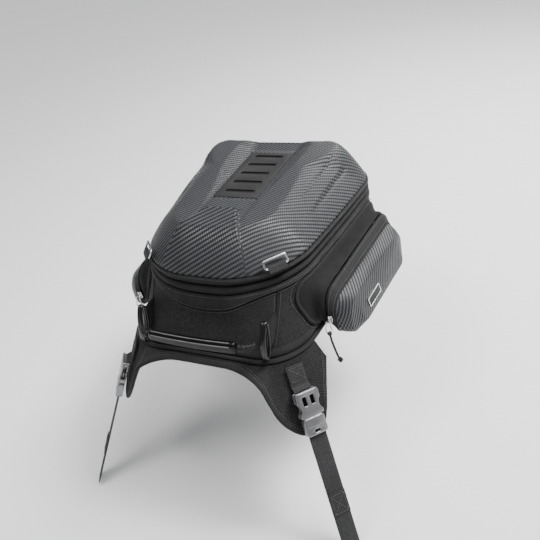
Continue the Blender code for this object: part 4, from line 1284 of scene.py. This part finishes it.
def build_pocket_band():
    """The padded strip between the zip and the moulded shell, and the lip at the shell's edge."""
    low = pocket_ring(POCKET_ZIP, ZIP_OFF + 0.0028, inset=0.0006)
    high = pocket_ring(POCKET_EDGE, EDGE_OFF)
    rings = [outward(low + (high - low) * k / 8, 0.0012 * crowned(k / 8)) for k in range(9)]
    rings += [outward(low + (high - low) * share, -0.003) for share in (1.0, 0.5, 0.0)]
    band = surface(
        "pocket_band_soft_right", round_ring(rings), LOOKS["band"], wrap_u=True, wrap_v=True, angle=55
    )
    settle_pair(band, "pocket_right", "fabric", "pocket_band_right")
    rows = []
    for share in (0.2, 0.82):
        path = outward(low + (high - low) * share, 0.0013)
        out = outward(path, 1.0) - path
        rows.append(stitches("row", path, out, closed=True))
    settle_pair(joined("pocket_band_stitching_right", rows), "pocket_right", "fabric")
    ring = outward(pocket_ring(POCKET_EDGE, EDGE_OFF + 0.0001), 0.0002)
    lip = sweep("pocket_lip_right", ring, circle(0.0011, 8), LOOKS["binding"], (1, 0, 0), closed=True)
    settle_pair(lip, "pocket_right", "binding")


def build_pocket_shell():
    edge = pocket_ring(POCKET_EDGE, EDGE_OFF + 0.0006)
    ridge = pocket_ring(POCKET_RIDGE, RIDGE_OFF)
    face = pocket_ring(POCKET_FACE, FACE_TOP_OFF, FACE_FOOT_OFF)
    rings = lofted([edge, ridge, face], [14, 8])
    for k in range(1, 14):
        rings[k] = outward(rings[k], 0.0016 * math.sin(math.pi * k / 14))
    middle = face.mean(axis=0)
    for k in range(1, 13):
        share = k / 12
        ring = face + (middle - face) * share * 0.97
        ring[:, 0] += 0.0018 * (1 - (1 - share) ** 2)
        rings.append(ring)
    # Cloth coordinates wrap over the ridge, so that the stripes run down the slanted face.
    shell = surface(
        "pocket_skin_right", round_ring(rings), LOOKS["carbon"], wrap_u=True,
        plan=lambda p: (p[1] + 0.35 * p[0], p[2] * 0.75 - p[0] * 0.75), angle=32,
    )
    fill_hole(shell.data, lambda spot: (spot - Vector(middle)).length < 0.02)
    face_outwards(shell.data)
    if shell.data.polygons[-1].normal.x < 0:
        shell.data.flip_normals()
    settle_pair(thicken(shell, POCKET_WALL), "pocket_right", "carbon", "pocket_shell_right")


def build_badge():
    """A plain badge: a thin bright frame round a dark plate, with no mark on it."""
    low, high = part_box("pocket_badge_right")
    tall = POCKET_FACE[3] - POCKET_FACE[2]
    down = Vector((FACE_FOOT_OFF - FACE_TOP_OFF, 0.0, -tall)).normalized()
    along = Vector((POCKET_PLANE_TILT, 1.0, 0.0)).normalized()
    out = along.cross(down) * -1
    place = placed((low + high) / 2, along, -down, out)
    outer = rounded_rectangle(-0.019, 0.019, -0.0065, 0.0065, 0.0018)
    inner = rounded_rectangle(-0.0176, 0.0176, -0.0051, 0.0051, 0.0010)[::-1]
    rim = plate("badge_frame_right", outer, [inner], -0.0006, 0.0012, 0.0003, LOOKS["nickel"], place)
    settle_pair(rim, "pocket_right", "nickel", "pocket_badge_right")
    centre = rounded_rectangle(-0.0175, 0.0175, -0.0050, 0.0050, 0.0009)
    field = plate("badge_plate_right", centre, [], -0.0006, 0.0006, 0.0002, LOOKS["plate"], place)
    settle_pair(field, "pocket_right", "nickel")


# Zip sliders, pulls and cords.


def slider(name, place):
    """A waisted plate and the bridge that holds the pull. X lies along the zip, Z out."""
    half_long, half_wide = 0.0055, 0.0042
    outline = []
    for turn in turned(28):
        c, s = squared(turn, 0.6)
        x = half_long * c
        outline.append((x, half_wide * s * (1 - 0.22 * max(0.0, -x / half_long))))
    body = plate(name + "_body", outline, [], 0.0, 0.0022, 0.0007, LOOKS["nickel"], place)
    arch = []
    for i in range(13):
        turn = math.pi * i / 12
        arch.append(place @ Vector((0.0036 * math.cos(turn), 0, 0.0014 + 0.0040 * math.sin(turn))))
    bridge = sweep(name + "_bridge", arch, circle(PULL_WIRE, 8), LOOKS["nickel"], place.col[1].xyz)
    return joined(name, [body, bridge])


def hoop_pull(name, place, length):
    """An open wire pull with a flared foot and a small neck, hung along -Y of its frame."""
    half, foot = 0.0030, 0.0040
    right = [
        (half * 0.75, 0.0), (half, -0.001), (half * 0.9, -length * 0.35), (foot, -length * 0.62),
        (foot, -length + 0.0015), (foot * 0.6, -length),
    ]
    left = [(-x, y) for x, y in right[::-1]]
    shape = [*left[-2:], *right, *left[:-2]]
    points = [place @ Vector((x, y, 0)) for x, y in shape]
    loop = smooth_curve([*points, points[0]], 0.0009)[:-1]
    return sweep(name, loop, circle(PULL_WIRE, 8), LOOKS["nickel"], place.col[2].xyz, closed=True)


def knot(name, centre, along, radius, wire):
    """An overhand knot, as a tight trefoil of cord."""
    along = Vector(along).normalized()
    side = along.orthogonal().normalized()
    third = along.cross(side)
    points = []
    for t in turned(48):
        x, y, z = math.sin(t) + 2 * math.sin(2 * t), math.cos(t) - 2 * math.cos(2 * t), -math.sin(3 * t)
        points.append(Vector(centre) + (side * x + third * y) * radius / 3 + along * z * radius * 0.75)
    return sweep(name, points, circle(wire, 8), LOOKS["cord"], along, closed=True)


def build_sliders():
    build_pocket_sliders()
    build_main_sliders()


def build_pocket_sliders():
    """The pocket zips' sliders and pulls, with their cords."""
    out, along = Vector((0.0, -1.0, 0.0)), Vector((0.0, 0.0, 1.0))
    place = placed(POCKET_SLIDER, along, out.cross(along), out)
    settle_pair(slider("side_slider_right", place), "zip_slider_right", "nickel", "pocket_slider_right")
    hang = Vector((0.05, -0.22, -1.0)).normalized()
    side = Vector((1.0, 0.0, 0.05)).normalized()
    top = POCKET_SLIDER + Vector((0.0, -0.0072, 0.001))
    place = placed(top, side, -hang, side.cross(-hang).normalized())
    pull = hoop_pull("side_pull_right", place, PULL_LENGTH)
    settle_pair(pull, "zip_pull_right", "nickel", "pocket_pull_right")
    build_pull_cords(top + hang * (PULL_LENGTH - 0.0034))


def build_pull_cords(loop):
    """Each cord hangs from its pull and ends in a knot. Its route is the CAD model's."""
    route = [
        loop,
        loop + Vector((0.0014, -0.0008, -0.010)),
        loop + Vector((0.0036, -0.0012, -0.022)),
        loop + Vector((0.0058, -0.0008, -0.034)),
        loop + Vector((0.0084, -0.0002, -0.046)),
    ]
    route = smooth_curve([point + Vector((0.0, 0.0, -CORD_GAP)) for point in route], 0.003)
    for mirror, suffix in ((1, "right"), (-1, "left")):
        path = [Vector((p.x * mirror, p.y, p.z)) for p in route]
        braid = [(r * (1 + 0.05 * (-1) ** k), s) for k, (r, s) in enumerate(circle(0.0015, 12))]
        cord = sweep(f"zip_cord_{suffix}", path, braid, LOOKS["cord"], (0, -1, 0))
        foot, top = path[-1] + UP * 0.003, path[0] + UP * 0.0012
        ends = [
            knot(f"cord_knot_{suffix}", foot, path[-1] - path[-3], 0.0026, 0.0013),
            knot(f"cord_hitch_{suffix}", top, path[2] - path[0], 0.0023, 0.0012),
        ]
        for end in ends:
            settle(end, f"zip_pull_{suffix}", "cord")
        settle(cord, f"zip_pull_{suffix}", "cord", f"pull_cord_{suffix}")


def build_main_sliders():
    """The main zip's two sliders and pulls, on the left side towards the front."""
    for name, y in (("front", 0.072), ("rear", 0.054)):
        half = case_half_width(y, MAIN_ZIP[0])
        lean = (case_half_width(y + 0.01, MAIN_ZIP[0]) - case_half_width(y - 0.01, MAIN_ZIP[0])) / 0.02
        along = Vector((-lean, 1.0, 0.0)).normalized()
        out = Vector((-1.0, -lean, 0.0)).normalized()
        spot = Vector((-half, y, MAIN_ZIP[0])) + out * 0.0016
        place = placed(spot, along, out.cross(along), out)
        settle(slider(f"lid_slider_{name}", place), f"main_slider_{name}", "nickel", f"main_slider_{name}")
        hang = Vector((-0.12, 0.0, -1.0)).normalized()
        place = placed(spot + out * 0.0068, along, -hang, along.cross(-hang).normalized())
        pull = hoop_pull(f"lid_pull_{name}", place, MAIN_PULL_LENGTH)
        settle(pull, f"main_pull_{name}", "nickel", f"main_pull_{name}")


# Harness.


def foot_point(edge_point, outline):
    """Where a line from an edge point towards the inside of the case crosses the foot of the case."""
    inside = Vector((math.copysign(0.060 * min(1.0, abs(edge_point.x) / 0.05), edge_point.x), -0.100))
    start = Vector((edge_point.x, edge_point.y))
    run = inside - start
    best = None
    for a, b in zip(outline, outline[1:] + outline[:1]):
        side = b - a
        cross = run.x * side.y - run.y * side.x
        if abs(cross) < 1e-12:
            continue
        offset = a - start
        t = (offset.x * side.y - offset.y * side.x) / cross
        s = (offset.x * run.y - offset.y * run.x) / cross
        if 0 <= t <= 1 and -1e-9 <= s <= 1 + 1e-9 and (best is None or t < best):
            best = t
    return start + run * best


def build_skirt():
    """The padded skirt behind the case, with its trim. Straps lie on it."""
    sheet, shares = skirt_sheet()
    across = np.gradient(sheet, axis=1)
    along = np.gradient(sheet, axis=0)
    normal = unit(np.cross(along, across))
    if normal[:, :, 2].sum() < 0:
        normal = -normal
    upper, lower = sheet.copy(), sheet.copy()
    for i in range(len(sheet)):
        for j, share in enumerate(shares):
            to_edge = np.linalg.norm(sheet[i, -1] - sheet[i, j])
            pad = 0.0
            if share < 0.9:
                pad = 0.0007 * step(0.0, 0.012, to_edge) * math.sin(math.pi * min(1.0, share + 0.1)) ** 0.5
            pad -= 0.0007 * groove(to_edge - 0.0085, 0.0012)
            pad += 0.0006 * noise.noise(Vector(sheet[i, j]) * 34.0) * step(0.002, 0.012, to_edge)
            upper[i, j] += normal[i, j] * (pad - 0.0002)
            lower[i, j] -= normal[i, j] * SKIRT_THICKNESS
    grid = np.concatenate([upper, lower[:, ::-1]], axis=1)
    skirt = surface("soft_skirt", grid, LOOKS["fabric"], wrap_v=True, caps=True, angle=60)
    settle(skirt, "bag", "fabric", "harness_skirt")
    build_skirt_trim(sheet, upper, lower, normal)
    return skirt


def skirt_sheet():
    """A grid from the foot of the case to the skirt's free edge, and the share of the way for each column."""
    right = smooth_curve(SKIRT_EDGE, 0.0045)
    edge = [Vector((-p.x, p.y, p.z)) for p in right[:0:-1]] + right
    outline = case_outline(0.0, 0.0030)
    shares = [k / 20 for k in range(21)]
    sheet = np.empty((len(edge), len(shares), 3))
    for i, free in enumerate(edge):
        foot = foot_point(free, outline)
        top = Vector((foot.x, foot.y, SKIRT_TOP_Z))
        for j, share in enumerate(shares):
            sheet[i, j] = top.lerp(free, share)
    return sheet, shares


def build_skirt_trim(sheet, upper, lower, normal):
    """The binding on the skirt's free edge, and two rows of stitches inside it."""
    middle = (upper[:, -1] + lower[:, -1]) / 2
    free_out = sheet[:, -1] - sheet[:, -3]
    profile = [(x * 0.0040 - 0.0030, y * 0.0025) for x, y in circle(1.0, 14)]
    bind = sweep("skirt_binding", middle, profile, LOOKS["binding"], free_out)
    settle(bind, "bag", "binding")
    rows = []
    for inset in (0.0068, 0.0102):
        path, lift = [], []
        for i in range(len(sheet)):
            reach = np.linalg.norm(sheet[i] - sheet[i, -1], axis=1)[::-1]
            share = np.interp(inset, reach, np.arange(len(reach))[::-1])
            j = min(len(reach) - 2, int(share))
            path.append(upper[i, j] + (upper[i, j + 1] - upper[i, j]) * (share - j))
            lift.append(normal[i, j])
        rows.append(stitches("row", np.array(path), np.array(lift), lift=0.0003))
    settle(joined("skirt_stitching", rows), "bag", "fabric")


def strap_frame(top, run, out):
    """X across the strap, Y up along it and Z away from what it lies on, from the top of its buckle."""
    up = -run.normalized()
    face = (out - up * out.dot(up)).normalized()
    return placed(top, up.cross(face), up, face)


def lie(place, tree, y, lift, floor):
    """How high a strap lies above its frame at Y, resting on what is under it."""
    heights = [floor]
    for x in (-STRAP_HALF, -STRAP_HALF / 2, 0.0, STRAP_HALF / 2, STRAP_HALF):
        start = place @ Vector((x, y, 0.05))
        hit = tree.ray_cast(start, -place.col[2].xyz, 0.08)[0]
        if hit is not None:
            heights.append((place.inverted() @ hit).z + lift)
    return max(heights)


def webbing(name, place, stations, thickness=STRAP_THICKNESS):
    """A flat strap along the frame's Y, with rounded selvedges."""
    half = STRAP_HALF
    section = []
    for k in range(9):
        x = half * (2 * k / 8 - 1)
        section.append((x, thickness * (1 - 0.45 * abs(2 * k / 8 - 1) ** 6)))
    section += [(x, thickness * 0.45 * (abs(x) / half) ** 6) for x, _ in section[::-1]]
    grid = [[place @ Vector((x, y, z + height)) for x, height in section] for y, z in stations]
    return surface(name, grid, LOOKS["webbing"], wrap_v=True, caps=True, angle=50)


def box_stitch(name, place, low, high, heights):
    """A stitched rectangle with its cross, lying on a strap."""
    half = 0.0095
    corners = [(-half, low), (half, low), (half, high), (-half, high)]
    lines = [*zip(corners, corners[1:] + corners[:1]), (corners[0], corners[2]), (corners[1], corners[3])]
    rows = []
    for a, b in lines:
        path = []
        for k in range(12):
            x, y = a[0] + (b[0] - a[0]) * k / 11, a[1] + (b[1] - a[1]) * k / 11
            path.append(place @ Vector((x, y, heights(y) + STRAP_THICKNESS + 0.0001)))
        rows.append(stitches("row", path, place.col[2].xyz, pitch=0.0026))
    return joined(name, rows)


def notched_outline(half, low, high, corner, notch_low, notch_high, depth):
    """A rounded rectangle whose two long sides have a smooth notch."""
    points = rounded_rectangle(-half, half, low, high, corner)
    right = []
    steps = 10
    for i in range(steps + 1):
        y = notch_low + (notch_high - notch_low) * i / steps
        right.append((half - depth * math.sin(math.pi * i / steps) ** 0.7, y))
    top = [(x, y) for x, y in points if y > high - corner - 1e-6]
    foot = [(x, y) for x, y in points if y < low + corner + 1e-6]
    left = [(-x, y) for x, y in right[::-1]]
    return [*right, *top, *left, *foot]


def build_buckle(side, place, body):
    """A side-release buckle: a hollow socket with two windows, and a block whose arms click into it."""
    low, high = BUCKLE_Z, BUCKLE_Z + BUCKLE_HEIGHT
    middle = (low + high) / 2
    half, foot = 0.0165, -BUCKLE_LENGTH

    def part(name, x, y, corner, z, edge, look="buckle"):
        """A plate from its X range, or half width, and its ranges in Y and Z."""
        left, right = x if isinstance(x, tuple) else (-x, x)
        return plate(name, rounded_rectangle(left, right, *y, corner), [], *z, edge, LOOKS[look], place)

    def shade(name, x, y, level, owner):
        """The dark hollow behind an opening."""
        z = (low + level, low + level + 0.0004)
        settle(part(name, x, y, 0.001, z, 0.0001, "hollow"), owner, "buckle")

    outline = notched_outline(half, foot, -0.0004, 0.003, -0.029, -0.013, 0.0036)
    windows = [
        rounded_rectangle(x - 0.0028, x + 0.0028, -0.019, -0.0072, 0.0012)[::-1] for x in (-0.0055, 0.0055)
    ]
    inside = (low + 0.001, high - 0.001)
    socket = [
        plate("top", outline, windows, high - 0.0026, high, 0.0008, LOOKS["buckle"], place),
        plate("under", outline, [], low, low + 0.0024, 0.0008, LOOKS["buckle"], place),
        part("neck", 0.0152, (-0.0074, -0.0008), 0.002, inside, 0.0006),
        part("bar", 0.0128, (-0.0035, -0.0012), 0.001, (high - 0.001, high + 0.0005), 0.0006),
        part("rail", (0.0128, 0.0158), (foot + 0.0006, -0.028), 0.0006, inside, 0.0005),
        part("rail", (-0.0158, -0.0128), (foot + 0.0006, -0.028), 0.0006, inside, 0.0005),
    ]
    settle(joined(f"buckle_socket_{side}", socket), "bag", "buckle", f"buckle_female_{side}")
    shade(f"buckle_shade_{side}", 0.0118, (-0.0205, -0.0064), 0.0026, "bag")
    head = foot - BUCKLE_GAP
    outline = rounded_rectangle(-0.0150, 0.0150, head - MALE_LENGTH, head, 0.0040, 6)
    slot = rounded_rectangle(-0.0036, 0.0036, head - 0.0205, head - 0.0172, 0.0010)[::-1]
    pieces = [
        plate("block", outline, [slot], low, high, 0.0013, LOOKS["buckle"], place),
        part("step", 0.0125, (head - 0.0130, head - 0.0012), 0.0022, (high - 0.0008, high + 0.0004), 0.0005),
    ]
    arm = ((0.0100, 0.0002), (0.0098, 0.007), (0.0112, 0.0130), (0.0112, 0.0170), (0.0098, 0.0190))
    section = [(x * 0.0016, y * 0.0018) for x, y in circle(1.0, 10)]
    for sign in (-1, 1):
        path = smooth_curve([place @ Vector((sign * x, head + y, middle)) for x, y in arm], 0.0015)
        pieces.append(sweep("arm", path, section, LOOKS["buckle"], place.col[0].xyz))
    guide_z = (low + 0.0030, high - 0.0032)
    pieces.append(part("guide", 0.0018, (head - 0.001, head + 0.0120), 0.0012, guide_z, 0.0006))
    settle(joined(f"buckle_block_{side}", pieces), body, "buckle", f"buckle_male_{side}")
    shade(f"block_shade_{side}", 0.0046, (head - 0.0212, head - 0.0165), 0.003, body)


def build_straps(skirt):
    bpy.context.view_layer.update()
    tree = BVHTree.FromObject(skirt, bpy.context.evaluated_depsgraph_get())
    left_top, left_run, left_out = [Vector((-v.x, v.y, v.z)) for v in (STRAP_TOP, STRAP_RUN, STRAP_OUT)]
    for side, top, run, out, lower_length in (
        ("right", STRAP_TOP, STRAP_RUN, STRAP_OUT, LOWER_LENGTH),
        ("left", left_top, left_run, left_out, LOWER_LENGTH),
        ("front", FRONT_STRAP_TOP, FRONT_STRAP_RUN, FRONT_STRAP_OUT, FRONT_LOWER_LENGTH),
    ):
        place = strap_frame(top, run, out)
        seat = BUCKLE_Z + 0.003
        body = f"strap_{side}"
        levels = []
        for i in range(25):
            y = 0.0006 + (SEWN_LENGTH - 0.0006) * i / 24
            rest = lie(place, tree, y, 0.0004, 0.0004)
            levels.append((y, max(rest, seat * (1 - min(1.0, y / 0.010)) ** 1.5)))
        upper = webbing(f"sewn_strap_{side}", place, levels)
        settle(upper, "bag", "webbing", f"strap_upper_{side}")
        ys = np.array([y for y, _ in levels])
        zs = np.array([z for _, z in levels])
        high = SEWN_LENGTH - 0.003
        sewn = box_stitch(f"strap_stitching_{side}", place, 0.012, high, lambda y: np.interp(y, ys, zs))
        settle(sewn, "bag", "webbing")
        build_buckle(side, place, body)
        foot = -BUCKLE_LENGTH - BUCKLE_GAP - MALE_LENGTH - 0.0002
        stations = [(foot - lower_length * k / 60, seat) for k in range(61)]
        lower = webbing(f"long_strap_{side}", place, stations)
        settle(lower, body, "webbing", f"strap_lower_{side}")
        # The turned-back end is sewn flat on the lower half of the strap.
        lap_top = foot - lower_length * 0.5
        stations = [(lap_top - 0.030 * k / 12, seat + STRAP_THICKNESS * 0.9) for k in range(13)]
        lap = webbing(f"strap_lap_{side}", place, stations, thickness=0.0014)
        settle(lap, body, "webbing")
        low, high = lap_top - 0.027, lap_top - 0.003
        sewn = box_stitch(f"lap_stitching_{side}", place, low, high, lambda y: seat + 0.0014)
        settle(sewn, body, "webbing")


# Carrying handle.


def grip_section(turn, grow):
    """The grip's depth and height at a turn round it."""
    c, s = squared(turn, 0.75)
    return GRIP_DEPTH * c * grow, GRIP_HEIGHT * s * grow


def grip_sag(x):
    return GRIP_SAG * (1 - (x / GRIP_HALF) ** 2)


def build_handle():
    """A moulded grip with two long ribs, and the flexible ends and double loops that hold it."""
    build_grip()
    build_flex_ends()
    build_handle_loops()


def build_grip():
    count = 72
    grid = []
    for i in range(count + 1):
        share = i / count
        x = -GRIP_HALF + 2 * GRIP_HALF * share
        end = min(share, 1 - share) * 2 * GRIP_HALF
        close = 1 - 0.35 * (1 - min(1.0, end / 0.004)) ** 2
        row = []
        for turn in turned(40):
            rib = sum(groove(turn - rise, 0.12) for rise in RIB_TURNS)
            deep, tall = grip_section(turn, close * (1 + RIB_RISE * rib * step(0.0, 0.010, end)))
            row.append((x, GRIP_Y - grip_sag(x) + deep, GRIP_Z + tall))
        grid.append(row)
    grip = surface("moulded_grip", grid, LOOKS["rubber"], wrap_v=True, caps=True, angle=50)
    settle(grip, "handle", "handle_rubber", "handle_grip")
    # Thin tubes along the two rib crests, in light rubber: painted highlight lines.
    for number, turn in enumerate(RIB_TURNS):
        deep, tall = grip_section(turn, 1 + RIB_RISE)
        crest = []
        for i in range(45):
            x = (GRIP_HALF - 0.007) * (i / 22 - 1)
            crest.append((x, GRIP_Y - grip_sag(x) + deep, GRIP_Z + tall))
        rib = sweep(f"grip_rib_{number + 1}", crest, circle(0.0007, 8), LOOKS["rib"], (0, -1, 0))
        settle(rib, "handle", "handle_rubber")


def build_flex_ends():
    """The corrugated ends, which run from the grip into the loops."""
    start = GRIP_HALF + 0.0012
    route = [
        (start, GRIP_Y, GRIP_Z),
        (start + 0.006, GRIP_Y + 0.0004, GRIP_Z),
        (start + 0.013, GRIP_Y + 0.006, GRIP_Z - 0.002),
        (HANDLE_END_X - 0.0050, HANDLE_PIVOT.y - 0.006, HANDLE_PIVOT.z + 0.001),
    ]
    path = smooth_curve(route, 0.0006)
    total = len(path)
    profile = []
    for i in range(total):
        swell = 0.5 - 0.5 * math.cos(2 * math.pi * i * 5 / total)
        radius = 0.0046 + 0.0008 * swell
        profile.append([(radius * 0.85 * math.cos(t), radius * math.sin(t)) for t in turned(20)])
    flex = sweep("ribbed_end_right", path, profile, LOOKS["flex"], (0, -1, 0.0), angle=60)
    settle_pair(flex, "handle", "handle_rubber", "handle_flex_right")


def build_handle_loops():
    """The upright double loops, and the tab that sews each to the case."""
    rims = []
    for shift in (-0.0014, 0.0014):
        points = []
        for turn in turned(56):
            tall, deep = LOOP_TALL * math.sin(turn), LOOP_DEEP * math.cos(turn)
            y = HANDLE_LOOP_Y + deep + tall * HANDLE_LOOP_LEAN
            points.append((HANDLE_LOOP_X + shift, y, HANDLE_PIVOT.z + tall))
        rims.append(sweep("rim", points, circle(0.0028, 12, 0.62), LOOKS["loop"], (1, 0, 0), closed=True))
    loop = joined("double_loop_right", rims)
    settle_pair(loop, "bag", "handle_rubber", "handle_loop_right")
    low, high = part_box("handle_anchor_right")
    middle, reach = (low.z + high.z) / 2, (high.z - low.z) / 2
    grid = []
    for k in range(25):
        z = low.z + (high.z - low.z) * k / 24
        tall = z - HANDLE_PIVOT.z
        rim = LOOP_DEEP * math.sqrt(1 - (tall / LOOP_TALL) ** 2)
        near = HANDLE_LOOP_Y + tall * HANDLE_LOOP_LEAN + rim + 0.0038
        ring = case_ring((z, z))
        narrow = 0.0028 * math.sqrt(max(0.05, 1 - abs((z - middle) / reach) ** 4))
        wall = [on_rear_wall(ring, HANDLE_LOOP_X + side * narrow)[1] - 0.0004 for side in (-1, 1)]
        grid.append([
            (HANDLE_LOOP_X - narrow, near + 0.0008, z), (HANDLE_LOOP_X - narrow * 0.5, near, z),
            (HANDLE_LOOP_X + narrow * 0.5, near, z), (HANDLE_LOOP_X + narrow, near + 0.0008, z),
            (HANDLE_LOOP_X + narrow, wall[1], z), (HANDLE_LOOP_X - narrow, wall[0], z),
        ])
    tab = surface("loop_tab_right", grid, LOOKS["fabric_dark"], wrap_v=True, caps=True)
    settle_pair(tab, "bag", "webbing", "handle_anchor_right")


LOOKS = build_looks()
build_camera()
build_studio()
build_sliders()
build_base()
build_case()
build_bands()
build_lid()
build_lid_rings()
build_pockets()
build_straps(build_skirt())
build_handle()
